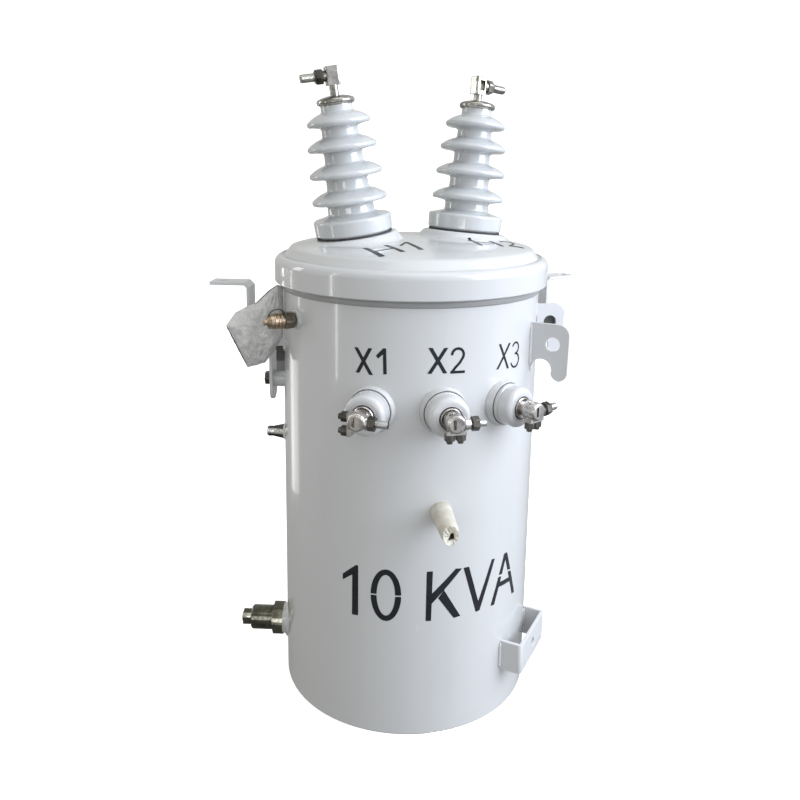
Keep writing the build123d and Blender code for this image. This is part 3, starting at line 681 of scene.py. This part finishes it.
def lv_shapes(P):
    s = [x_mark(P, (-114.8, 563.2), (-94.8, 563.6), (-112.6, 529.2), (-93.4, 527.8), 5.4),
         poly_sd(P, [(-77.0, 530.0), (-72.4, 530.2), (-73.6, 564.8), (-77.4, 564.8), (-87.2, 554.4), (-84.2, 550.4), (-77.8, 556.6)]),
         x_mark(P, (-16.2, 566.6), (4.8, 566.0), (-17.0, 532.0), (4.2, 532.0), 5.6)]
    two = arc_points((21.2, 556.0), 8.2, 8.3, 172, -32) + [(24.4, 545.6), (17.8, 538.8), (13.6, 533.2)]
    s += [stroke_sd(P, two, 3.5), poly_sd(P, [(11.0, 531.2), (31.8, 530.8), (31.7, 534.4), (11.4, 534.8)])]
    s += [x_mark(P, (87.8, 563.8), (107.8, 562.8), (84.4, 529.1), (105.8, 527.3), 4.0)]
    s += [stroke_sd(P, arc_points((121.6, 553.6), 7.4, 7.6, 150, -92), 2.6), stroke_sd(P, arc_points((121.2, 536.4), 9.2, 9.6, 88, -160), 2.6)]
    return np.minimum.reduce(s)


def marching(shape, lo, hi, step):
    """Triangles of the region where shape < 0, with smooth clipped edges: (points, triangles)."""
    xs, ys = np.arange(lo[0], hi[0] + step, step), np.arange(lo[1], hi[1] + step, step)
    gx, gy = np.meshgrid(xs, ys, indexing="ij")
    P = np.stack([gx.ravel(), gy.ravel()], 1)
    D = shape(P)
    ny = len(ys)
    verts, tris, index = [], [], {}

    def corner(i):
        key = ("c", i)
        if key not in index:
            index[key] = len(verts)
            verts.append(P[i])
        return index[key]

    def cut(i, j):
        key = (min(i, j), max(i, j))
        if key not in index:
            t = D[i] / (D[i] - D[j])
            t = min(0.98, max(0.02, t))
            index[key] = len(verts)
            verts.append(P[i] + (P[j] - P[i]) * t)
        return index[key]

    near = D.reshape(len(xs), ny)
    cell = np.minimum.reduce([near[:-1, :-1], near[1:, :-1], near[:-1, 1:], near[1:, 1:]]) < 0
    for ix, iy in zip(*np.nonzero(cell)):
        a, b, c, d = ix * ny + iy, (ix + 1) * ny + iy, (ix + 1) * ny + iy + 1, ix * ny + iy + 1
        for tri in ((a, b, c), (a, c, d)):
            poly = []
            for i, j in zip(tri, tri[1:] + tri[:1]):
                if D[i] < 0:
                    poly.append(corner(i))
                if (D[i] < 0) != (D[j] < 0):
                    poly.append(cut(i, j))
            if len(poly) >= 3:
                tris.append(poly)
    return np.array(verts), tris


def lettering(name, shape, lo, hi, step, place, thick=0.16, lift=0.06):
    """Closed thin skin of paint: place(u, v, height above the surface in mm) gives metres."""
    V, T = marching(shape, lo, hi, step)
    n = len(V)
    verts = [place(u, v, lift + thick) for u, v in V] + [place(u, v, lift) for u, v in V]
    faces = [list(t) for t in T] + [[i + n for i in t][::-1] for t in T]
    seen = {}
    for t in T:
        for i, j in zip(t, t[1:] + t[:1]):
            seen[(i, j)] = True
    for (i, j) in seen:
        if (j, i) not in seen:
            faces.append([i, i + n, j + n, j])
    return make_object(name, verts, faces, stencil, smooth=False)


def on_wall(u, v, h):
    a = u / TANK_R
    r = TANK_R + h
    return Vector((r * math.sin(a), -r * math.cos(a), v)) * MM


lettering("rating_numerals", rating_shapes, (-137, 172), (152, 258), 0.9, on_wall)
lettering("lv_terminal_marks", lv_shapes, (-121, 522), (136, 570), 0.6, on_wall)


def hv_mark_1(P):
    """H and 1 in the cover's plan, strokes between points in mm."""
    s = [poly_sd(P, [(-91.2, -103.0), (-84.6, -104.4), (-69.4, -151.4), (-77.0, -152.4)]), poly_sd(P, [(-60.0, -91.0), (-54.4, -92.2), (-39.6, -138.6), (-46.4, -139.6)]),
         stroke_sd(P, [(-80.0, -127.0), (-51.0, -117.0)], 3.0),
         poly_sd(P, [(-27.0, -70.2), (-21.6, -70.4), (-13.0, -130.2), (-19.4, -130.8)]), stroke_sd(P, [(-24.6, -72.0), (-37.4, -98.6)], 3.6)]
    return np.minimum.reduce(s)


def hv_mark_2(P):
    s = [poly_sd(P, [(75.8, -37.0), (80.0, -37.0), (81.6, -92.6), (77.0, -93.0)]), poly_sd(P, [(105.4, -43.6), (109.8, -43.6), (114.2, -88.0), (109.2, -88.4)]),
         stroke_sd(P, [(79.0, -62.0), (110.0, -66.0)], 2.2),
         stroke_sd(P, [(124.6, -44.0), (127.6, -34.0), (135.0, -29.5), (142.6, -33.0), (144.6, -43.0), (139.0, -56.0), (128.6, -74.0)], 3.0),
         poly_sd(P, [(125.6, -73.0), (148.6, -71.0), (148.6, -78.4), (125.6, -80.0)])]
    return np.minimum.reduce(s)


def on_cover(u, v, h):
    z = cover_z(u, v)
    e = 0.5
    nx, ny = (cover_z(u + e, v) - cover_z(u - e, v)) / (2 * e), (cover_z(u, v + e) - cover_z(u, v - e)) / (2 * e)
    nrm = Vector((-nx, -ny, 1)).normalized()
    return (Vector((u, v, z)) + nrm * (h + 0.12)) * MM


lettering("hv_terminal_mark_1", hv_mark_1, (-95, -156), (-9, -66), 0.8, on_cover)
lettering("hv_terminal_mark_2", hv_mark_2, (72, -97), (152, -25), 0.8, on_cover)

# ------------------------------------------------------------ rod threads
LV_PHI, LV_Z, LV_FACE = {1: -28.0, 2: 1.0, 3: 29.5}, 481.0, 225.0
LV_ARM, LV_BOLT = {1: 13.5, 2: 21.0, 3: 20.0}, {1: 26.0, 2: 19.0, 3: 25.0}
parts = []
for n, (top, xb, u) in HV_BOLT.items():
    parts.append(thread(axis_frame(top, xb, u), 5.6, 15.2, HV[n]["shank"] - 0.6, pitch=1.75, depth=0.34))
verts, faces = join_parts(parts)
make_object("hv_bolt_threads", verts, faces, bright_rod)
parts = []
for n, phi in LV_PHI.items():
    m = wall_frame(phi, LV_FACE + 9.0, LV_Z) @ Matrix.Translation(Vector((LV_ARM[n], -1.0, 10.0)) * MM) @ Matrix.Rotation(math.radians(90), 4, "Y")
    parts.append(thread(m, 4.7, 9.2, LV_BOLT[n] - 0.5, pitch=1.5, depth=0.38))
verts, faces = join_parts(parts)
make_object("lv_bolt_threads", verts, faces, zinc)

# ------------------------------------------------- rubber gaskets, and dark rings of painted shade in the stud recesses
parts = []
for n, phi in LV_PHI.items():
    m = wall_frame(phi, 0.0, LV_Z)
    ring = [(28.6, 197.7), (29.1, 197.9), (29.3, 198.3), (29.0, 198.8), (28.6, 198.9)]
    v, f = lathe(ring + ring[:1], m, 80)
    parts.append((v, f))
    # dark ring down in the stud's recess: painted shade in the gap round the stud
    recess_shade_ring = [(14.3, 217.4), (15.3, 217.4), (15.3, 221.6), (14.8, 222.3), (14.3, 221.6)]
    parts.append(lathe(recess_shade_ring + recess_shade_ring[:1], m, 64))
verts, faces = join_parts(parts)
make_object("lv_gaskets_and_recess_shades", verts, faces, rubber)

# ------------------------------------------------------ relief valve's ring
vm = wall_frame(-69.0, 0.0, 585.0)
pts = []
for k in range(41):
    a = math.radians(-8 + 196 * k / 40)
    pts.append(vm @ (Vector((0.0, 1.0 + 15.5 * math.sin(a), 219.5 + 14.5 * math.cos(a))) * MM))
verts, faces = join_parts([tube(pts, 0.95, 10)])
make_object("relief_valve_ring", verts, faces, dark_steel)

# -------------------------------------------------------------- weld beads


def bead(points, radius, seed, seg=10):
    """Rippled weld bead along points in metres."""
    radii = []
    for i, p in enumerate(points):
        k = noise.noise(Vector(p) * 260 + Vector((seed, 0, 0)))
        radii.append(radius * (1.0 + 0.16 * k + 0.09 * math.sin(i * 1.9)))
    end = min(6, len(points) // 3)
    for i in range(end):
        s = math.sin((i + 0.6) / end * math.pi / 2)
        radii[i] *= s
        radii[-1 - i] *= s
    return tube(points, radii, seg)


parts = []
for phi, up in ((51.5, 0.0), (88.5, 5.0), (-88.5, 5.0)):
    for side in (-1, 1):
        a = math.radians(phi)
        tan = Vector((math.cos(a), math.sin(a), 0))
        pts = [spot(phi, TANK_R + 0.6, z) + tan * side * 3.3 * MM for z in np.arange(521 + up, 581 + up, 1.3)]
        parts.append(bead(pts, 2.1, phi + side))
for t in (-53.0, 53.0):
    a = math.radians(51.5)
    c, s = math.cos(a), math.sin(a)
    r = math.sqrt(TANK_R ** 2 - t ** 2)
    for side in (-1, 1):
        tt = t + side * 3.6
        r = math.sqrt((TANK_R + 0.6) ** 2 - tt ** 2)
        pts = [Vector((r * s + tt * c, -r * c + tt * s, z)) * MM for z in np.arange(68.5, 112.0, 1.3)]
        parts.append(bead(pts, 2.2, t + side))
for phi, z, r in ((-69.0, 585.0, 12.2), (-103.5, 385.0, 13.2), (-104.5, 62.0, 27.6), (-105.5, 469.0, 13.6), (105.5, 469.0, 13.6)):
    m = wall_frame(phi, 0, z)
    pts = []
    for k in range(int(r * 5)):
        a = 2 * math.pi * k / int(r * 5)
        x, y = r * math.cos(a), r * math.sin(a)
        pts.append(m @ (Vector((x, y, math.sqrt(TANK_R ** 2 - x * x) + 0.4)) * MM))
    radii = [1.7 * (1 + 0.14 * noise.noise(p * 300) + 0.08 * math.sin(i * 2.1)) for i, p in enumerate(pts)]
    parts.append(tube(pts, radii, 10, closed=True))
verts, faces = join_parts(parts)
make_object("weld_beads", verts, faces, bracket_paint)

# ---------------------------------------------- tap stub wrapped with tape
TAP_Z, TAP_R0, TAP_R1, TAP_LEN, TAP_PHI, TAP_TURN = 339.5, 15.0, 12.4, 75.0, 1.0, -6.0


def build_tap():
    ta = math.radians(TAP_PHI + TAP_TURN)
    root = spot(TAP_PHI, TANK_R, TAP_Z)
    x, n = Vector((math.cos(ta), math.sin(ta), 0)), Vector((math.sin(ta), -math.cos(ta), 0))
    m = Matrix((x, Vector((0, 0, 1)), n)).transposed().to_4x4()
    m.translation = root
    seg, rows = 96, 90
    verts, faces = [], []
    wall = 1.6

    def outer(j, i):
        s = j / rows
        z = -4.0 + (TAP_LEN + 3.4) * s
        a = 2 * math.pi * i / seg
        r = TAP_R0 + (TAP_R1 - TAP_R0) * max(0.0, z) / TAP_LEN
        wrap = ((z / 9.5) - i / seg) % 1.0
        r += -0.55 + 0.42 * (1 - wrap) * smoothstep(0.0, 0.06, wrap) - 0.35 * smoothstep(0.86, 1.0, s)
        r += 0.28 * noise.noise(Vector((math.cos(a) * 2.2, math.sin(a) * 2.2, z * 0.11)))
        # frayed free end: the rim is longer below and at the sides, with small tears
        flap = 3.4 * math.exp(-(((a - math.radians(232)) / 0.55) ** 2))
        fray = flap + 1.6 * noise.noise(Vector((math.cos(a) * 3.4, math.sin(a) * 3.4, 7.3))) + 0.9 * noise.noise(Vector((math.cos(a) * 9, math.sin(a) * 9, 2.1)))
        zz = z - smoothstep(0.82, 1.0, s) * (2.0 + 1.6 * max(-1.0, min(1.0, math.sin(a))) - fray)
        pinch = smoothstep(0.80, 1.0, s) * 0.10
        return Vector((r * math.cos(a) * (1 - pinch), r * math.sin(a) * (1 + 0.4 * pinch), zz))

    for j in range(rows + 1):
        for i in range(seg):
            verts.append(m @ (outer(j, i) * MM))
    for j in range(rows):
        for i in range(seg):
            k = (i + 1) % seg
            faces.append([j * seg + i, j * seg + k, (j + 1) * seg + k, (j + 1) * seg + i])
    # torn end: from the rim inward to a small four-sided mouth right and low of the middle
    hole_poly = [(-3.2, -8.2), (5.2, -6.4), (4.4, 1.4), (0.4, 2.4)]
    cx, cy = 1.8, -3.2

    def mouth(i):
        a = 2 * math.pi * i / seg
        d = Vector((math.cos(a), math.sin(a)))
        best = 3.0
        for p, q in zip(hole_poly, hole_poly[1:] + hole_poly[:1]):
            e = Vector((q[0] - p[0], q[1] - p[1]))
            w = Vector((p[0] - cx, p[1] - cy))
            den = d.x * e.y - d.y * e.x
            if abs(den) > 1e-9:
                t = (w.x * e.y - w.y * e.x) / den
                k = (w.x * d.y - w.y * d.x) / den
                if t > 0 and -1e-6 <= k <= 1 + 1e-6:
                    best = t
        return Vector((cx + d.x * best, cy + d.y * best, 0))

    rings_in = 9
    last = rows * seg
    for j in range(1, rings_in + 1):
        t = j / rings_in
        start = len(verts)
        for i in range(seg):
            a = 2 * math.pi * i / seg
            rim, hm = outer(rows, i), mouth(i)
            q = rim.lerp(hm, t)
            ruck = 0.9 * noise.noise(Vector((q.x * 0.42, q.y * 0.42, 5.5))) + 0.55 * math.sin(a * 11 + 2.0 * noise.noise(Vector((q.x * 0.2, q.y * 0.2, 1.0))))
            q.z = rim.z * (1 - t) + (TAP_LEN - 4.2) * t + ruck * math.sin(t * math.pi) * 1.1 - 0.9 * t * t
            verts.append(m @ (q * MM))
        for i in range(seg):
            k = (i + 1) % seg
            faces.append([last + i, last + k, start + k, start + i])
        last = start
    depth = 6
    for j in range(1, depth + 1):
        start = len(verts)
        for i in range(seg):
            hm = mouth(i)
            q = Vector((cx + (hm.x - cx) * (1 - 0.02 * j), cy + (hm.y - cy) * (1 - 0.02 * j), TAP_LEN - 5.1 - 1.5 * j))
            verts.append(m @ (q * MM))
        for i in range(seg):
            k = (i + 1) % seg
            faces.append([last + i, last + k, start + k, start + i])
        last = start
    faces.append([last + i for i in range(seg)])
    faces.append([i for i in range(seg)][::-1])
    o = make_object("tap_wrap", verts, faces, tape)
    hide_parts("tap_changer_stub")
    # dark lining a little inside the mouth's walls: painted shade down in the mouth of the torn end
    v, f = [], []
    for z in (TAP_LEN - 13.6, TAP_LEN - 6.0, TAP_LEN - 5.6, TAP_LEN - 13.0):
        k = 0.95 if z in (TAP_LEN - 13.6, TAP_LEN - 6.0) else 0.86
        for i in range(seg):
            hm = mouth(i)
            v.append(m @ (Vector((cx + (hm.x - cx) * k * 0.93, cy + (hm.y - cy) * k * 0.93, z)) * MM))
    for j in range(3):
        for i in range(seg):
            k = (i + 1) % seg
            f.append([j * seg + i, j * seg + k, (j + 1) * seg + k, (j + 1) * seg + i])
    f.append([i for i in range(seg)][::-1])
    f.append([3 * seg + i for i in range(seg)])
    make_object("tap_mouth_shade_lining", v, f, mouth_shade)
    return m


tap_m = build_tap()

# --------------------------------------------------------------- film wrap
FILM_PHI = -88.5
OUTLINE = [(190.6, 547.5), (201.5, 529.5), (218.5, 509.0), (244.2, 503.0), (259.5, 536.0), (273.4, 566.5), (260.2, 584.6), (242.0, 594.2), (231.0, 597.6),
           (211.0, 616.6), (199.5, 624.2), (190.6, 621.4)]


def build_film():
    """A flat bag of film over the lifting lug: two skins that meet along a crimped edge, wrinkled and pulled to a knot at its top corner."""
    poly = np.array(OUTLINE)

    def shape(P):
        return poly_sd(P, poly)

    V, T = marching(shape, (188, 500), (276, 628), 1.3)
    d = -poly_sd(V, poly)
    a = math.radians(FILM_PHI)
    out, tan = Vector((math.sin(a), -math.cos(a), 0)), Vector((math.cos(a), math.sin(a), 0))
    n = len(V)

    def skin(side):
        pts = []
        for (r, z), dist in zip(V, d):
            fat = 11.0 * (1 - math.exp(-max(dist, 0) / 6.5)) + 0.35
            q = Vector((r, z, side * 40.0))
            w = noise.fractal(q * 0.045, 1.0, 2.0, 4) * 2.2
            w += (0.5 - abs(noise.noise(q * 0.085 + Vector((3.1, 0, 0))))) * 2.6
            # folds that run from the top corner and from the lower corner
            k1 = math.atan2(z - 622.0, r - 200.0)
            w += 0.9 * math.sin(k1 * 26 + 1.3 * noise.noise(q * 0.03)) * smoothstep(60, 8, math.hypot(r - 200, z - 622))
            k2 = math.atan2(z - 505.0, r - 232.0)
            w += 0.7 * math.sin(k2 * 21 + side) * smoothstep(70, 10, math.hypot(r - 232, z - 505))
            calm = smoothstep(0.5, 7.0, dist)
            off = side * (fat + w * calm)
            off = side * max(0.25, min(12.6, side * off))
            # the bag is narrower at the wall side, where it is tucked behind the valve
            narrow = 0.72 + 0.28 * smoothstep(190, 214, r)
            pts.append((out * r + Vector((0, 0, z)) + tan * off * narrow) * MM)
        return pts

    front, back = skin(-1), skin(1)
    verts = front + back
    faces = [list(t) for t in T] + [[i + n for i in t][::-1] for t in T]
    seen = {}
    for t in T:
        for i, j in zip(t, t[1:] + t[:1]):
            seen[(i, j)] = True
    for (i, j) in seen:
        if (j, i) not in seen:
            faces.append([i, i + n, j + n, j])
    o = make_object("film_bag", verts, faces, film)
    sub = o.modifiers.new("sub", "SUBSURF")
    sub.levels = sub.render_levels = 1
    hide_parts("film_wrap")
    return o


film_bag = build_film()


def lug_shade_strip(phi, off0, r0, r1, z0, z1, seed):
    """Thin dark strip beside a lug, with uneven edges: painted shade where the lug lies in shadow. off0 is its distance
    from the lug's middle plane, along the wall.
    """
    a = math.radians(phi)
    out, tan = Vector((math.sin(a), -math.cos(a), 0)), Vector((math.cos(a), math.sin(a), 0))
    nu, nv = 14, 30
    verts = []
    for side in (-1, 1):
        for j in range(nv + 1):
            for i in range(nu + 1):
                r = r0 + (r1 - r0) * i / nu
                end = z0 + 0.5 * noise.noise(Vector((r * 0.5, seed, 3)))
                z = end + (z1 - end) * j / nv
                r += 0.35 * noise.noise(Vector((seed, z * 0.25, 1.0))) * (1 if i > nu / 2 else 0)
                off = off0 + 0.22 * noise.noise(Vector((r * 0.2, z * 0.12, seed))) + side * 0.3
                verts.append((out * r + Vector((0, 0, z)) + tan * off) * MM)
    w = nu + 1
    n = (nv + 1) * w
    faces = []
    for j in range(nv):
        for i in range(nu):
            k = j * w + i
            faces.append([k, k + w, k + w + 1, k + 1])
            faces.append([n + k, n + k + 1, n + k + w + 1, n + k + w])
    edge = [i for i in range(w)] + [j * w + nu for j in range(1, nv + 1)] + [nv * w + i for i in range(nu - 1, -1, -1)] + [j * w for j in range(nv - 1, 0, -1)]
    for i, j in zip(edge, edge[1:] + edge[:1]):
        faces.append([i, j, j + n, i + n])
    return verts, faces


# near-black material of the lug shade strips, which are painted shade, and of the film's dark folded edges
m = Mat("painted_shade_and_dark_edges")
c = m.ramp(m.noise(70.0, 4.0, 0.6), [(0.3, (0.035, 0.034, 0.032)), (0.75, (0.085, 0.083, 0.08))])
# painted light: below 0.511 m the left strip is painted a lighter grey, as if less shaded there
c = m.mix(m.ramp(m.height_band(0.5105, 0.5125), [(0.0, 1.0), (1.0, 0.0)]), c, (0.19, 0.19, 0.195))
m.link(c, m.p.inputs["Base Color"])
m.link(m.ramp(m.noise(90.0, 3.0), [(0.3, 0.45), (0.8, 0.7)]), m.p.inputs["Roughness"])
m.bump(m.noise(200.0, 3.0, 0.5), 0.3, 0.0005)
# painted shade: dark strips at the left lug's root and behind the right lug's hole
verts, faces = join_parts([lug_shade_strip(-88.5, 3.4, 190.5, 202.4, 496.4, 534.0, 0.0), lug_shade_strip(88.5, 3.4, 210.5, 234.0, 546.5, 569.5, 7.0)])
make_object("lug_shade_strips", verts, faces, m.m)


def film_edge():
    """Folded edges of the film bag: dark where the fold is thick, along its lower left side and its top."""
    a = math.radians(FILM_PHI)
    out, tan = Vector((math.sin(a), -math.cos(a), 0)), Vector((math.cos(a), math.sin(a), 0))
    res = []
    for line, radius, seed in (([(271.6, 564.6), (258.0, 536.6), (244.6, 506.4)], 1.6, 2.0), ([(232.0, 596.0), (211.2, 614.9), (200.4, 622.0)], 0.85, 9.0)):
        pts = []
        for (r0, z0), (r1, z1) in zip(line, line[1:]):
            k = max(2, int(math.hypot(r1 - r0, z1 - z0) / 1.6))
            for i in range(k):
                t = i / k
                r, z = r0 + (r1 - r0) * t, z0 + (z1 - z0) * t
                off = 1.3 + 0.5 * noise.noise(Vector((r * 0.12, z * 0.12, seed)))
                pts.append((out * r + Vector((0, 0, z)) + tan * off) * MM)
        pts.append((out * line[-1][0] + Vector((0, 0, line[-1][1])) + tan * 0.7) * MM)
        n = len(pts)
        radii = [radius * (0.35 + 0.65 * math.sin(math.pi * (i + 0.5) / n) ** 0.5) * (1 + 0.25 * noise.noise(q * 200)) for i, q in enumerate(pts)]
        res.append(tube(pts, radii, 8))
    return join_parts(res)


verts, faces = film_edge()
make_object("film_edge", verts, faces, m.m)

# -------------------------------------------------------------------- stage


def stage_material(name, value):
    m = Mat(name)
    c = m.ramp(m.noise(0.8, 2.0), [(0.3, value), (0.7, value)])
    m.link(c, m.p.inputs["Base Color"])
    m.set(Roughness=0.9)
    m.p.inputs["Specular IOR Level"].default_value = 0.1
    m.p.inputs["Emission Color"].default_value = (1, 1, 1, 1)
    m.p.inputs["Emission Strength"].default_value = 0.62
    return m.m


mesh = bpy.data.meshes.new("floor")
S, H = 9.0, 7.0
rows = [(-S, 0.0)] + [(3.5 + 2.0 * math.sin(math.radians(t)), 2.0 - 2.0 * math.cos(math.radians(t))) for t in range(0, 91, 6)] + [(5.5, H)]
verts = [(x, y, z) for y, z in rows for x in (-S, S)]
faces = [(2 * i, 2 * i + 1, 2 * i + 3, 2 * i + 2) for i in range(len(rows) - 1)]
mesh.from_pydata(verts, [], faces)
for p in mesh.polygons:
    p.use_smooth = True
floor = bpy.data.objects.new("floor", mesh)
bpy.context.scene.collection.objects.link(floor)
mesh.materials.append(stage_material("pale_floor", (0.90, 0.90, 0.90)))
floor.visible_diffuse = False
floor.visible_glossy = False

# ------------------------------------------------------------------ lights


def area(name, loc, target, size, power, colour, size_y=None):
    l = bpy.data.lights.new(name, "AREA")
    l.energy = power
    l.color = colour
    l.shape = "RECTANGLE"
    l.size, l.size_y = size, size_y or size
    o = bpy.data.objects.new(name, l)
    bpy.context.scene.collection.objects.link(o)
    o.location = loc
    o.rotation_euler = (Vector(target) - Vector(loc)).to_track_quat("-Z", "Y").to_euler()
    return o


def around(theta, dist, z):
    """A place at an azimuth from the camera's side, positive to the viewer's right."""
    a = math.radians(theta - 13.0)
    return Vector((dist * math.sin(a), -dist * math.cos(a), z))


area("key_right", around(70, 1.9, 1.42), (0.0, 0, 0.50), 1.6, 57, (0.84, 0.905, 1.0), 1.7)
area("front_glint", around(-11, 1.3, 0.60), around(-11, 0.2, 0.25), 0.55, 1.0, (1.0, 1.0, 0.98), 0.13)
area("top_soft", around(20, 0.7, 2.9), (0, 0, 0.5), 2.0, 9.6, (1.0, 1.0, 1.0), 1.6)
area("left_strip_side", around(-60.4, 1.05, 0.81), around(-60.4, 0.0, 0.81), 0.036, 0.76, (1.0, 1.0, 0.97), 1.08)
area("left_door", around(-113.5, 0.75, 0.208), around(-113.5, 0.0, 0.208), 0.20, 0.27, (1.0, 1.0, 0.98), 0.325)
area("left_door_edge", around(-118.0, 0.75, 0.208), around(-118.0, 0.0, 0.208), 0.10, 0.075, (1.0, 1.0, 0.98), 0.325)
area("left_window", around(-101, 1.5, 1.0), around(-101, 0.0, 0.8), 0.26, 1.8, (1.0, 1.0, 0.98), 0.62)
for k, (az, z, w, h, power) in enumerate([(-124.5, 0.41, 0.09, 0.14, 0.15), (-109.0, 0.41, 0.07, 0.14, 0.10), (-117.3, 0.495, 0.48, 0.03, 0.14)]):
    area(f"left_frame_{k}", around(az, 1.5, z), around(az, 0.0, z), w, power, (1.0, 1.0, 0.98), h)
for o in bpy.data.objects:
    if o.type == "LIGHT" and o.name.startswith(("left", "front")):
        o.visible_camera = False

world = bpy.data.worlds.new("studio")
bpy.context.scene.world = world
world.use_nodes = True
wt = world.node_tree
wt.nodes.clear()
wo = wt.nodes.new("ShaderNodeOutputWorld")
bg = wt.nodes.new("ShaderNodeBackground")
bg.inputs["Strength"].default_value = 1.0
tc = wt.nodes.new("ShaderNodeTexCoord")
toward = math.radians(80.0 - 13.0)
dot = wt.nodes.new("ShaderNodeVectorMath")
dot.operation = "DOT_PRODUCT"
wt.links.new(tc.outputs["Generated"], dot.inputs[0])
dot.inputs[1].default_value = (math.sin(toward), -math.cos(toward), 0.10)
mr = wt.nodes.new("ShaderNodeMapRange")
mr.inputs["From Min"].default_value, mr.inputs["From Max"].default_value = -1, 1
wt.links.new(dot.outputs["Value"], mr.inputs["Value"])
ramp = wt.nodes.new("ShaderNodeValToRGB")
wt.links.new(mr.outputs[0], ramp.inputs[0])
els = ramp.color_ramp.elements
els[0].position, els[0].color = 0.05, (0.56, 0.56, 0.54, 1)
els[1].position, els[1].color = 0.97, (1.15, 1.20, 1.32, 1)
els.new(0.50).color = (0.62, 0.625, 0.61, 1)
els.new(0.76).color = (0.80, 0.825, 0.86, 1)
sep = wt.nodes.new("ShaderNodeSeparateXYZ")
wt.links.new(tc.outputs["Generated"], sep.inputs[0])
low = wt.nodes.new("ShaderNodeMapRange")
low.inputs["From Min"].default_value, low.inputs["From Max"].default_value = -0.75, 0.05
low.inputs["To Min"].default_value, low.inputs["To Max"].default_value = 0.34, 1.0
wt.links.new(sep.outputs[2], low.inputs["Value"])
wt.links.new(ramp.outputs[0], bg.inputs["Color"])
wt.links.new(low.outputs[0], bg.inputs["Strength"])
wt.links.new(bg.outputs[0], wo.inputs[0])

# ------------------------------------------------------------------ camera
yaw, pitch, roll = -0.0118140, 0.1998395, 0.0144782
fwd = Vector((math.sin(yaw) * math.cos(pitch), math.cos(yaw) * math.cos(pitch), -math.sin(pitch)))
right = Vector((math.cos(yaw), -math.sin(yaw), 0))
up = right.cross(fwd)
r2 = right * math.cos(roll) + up * math.sin(roll)
u2 = up * math.cos(roll) - right * math.sin(roll)
turn = Matrix.Rotation(math.radians(-13.0), 4, "Z")
cam_m = Matrix((r2, u2, -fwd)).transposed().to_4x4()
cam_m.translation = Vector((0.0, -6.40637, 4.24839)) * 0.190
cam_data = bpy.data.cameras.new("camera")
cam_data.sensor_fit = "HORIZONTAL"
cam_data.sensor_width = 36.0
cam_data.lens = 818.85 / 800.0 * 36.0
cam_data.shift_x = -(400.627 - 400.0) / 800.0
cam_data.shift_y = (322.953 - 400.0) / 800.0
cam_data.clip_start, cam_data.clip_end = 0.05, 60.0
cam = bpy.data.objects.new("camera", cam_data)
bpy.context.scene.collection.objects.link(cam)
cam.matrix_world = turn @ cam_m
bpy.context.scene.camera = cam

bpy.context.scene.view_settings.view_transform = "Standard"
bpy.context.scene.view_settings.look = "None"

bpy.context.view_layer.update()
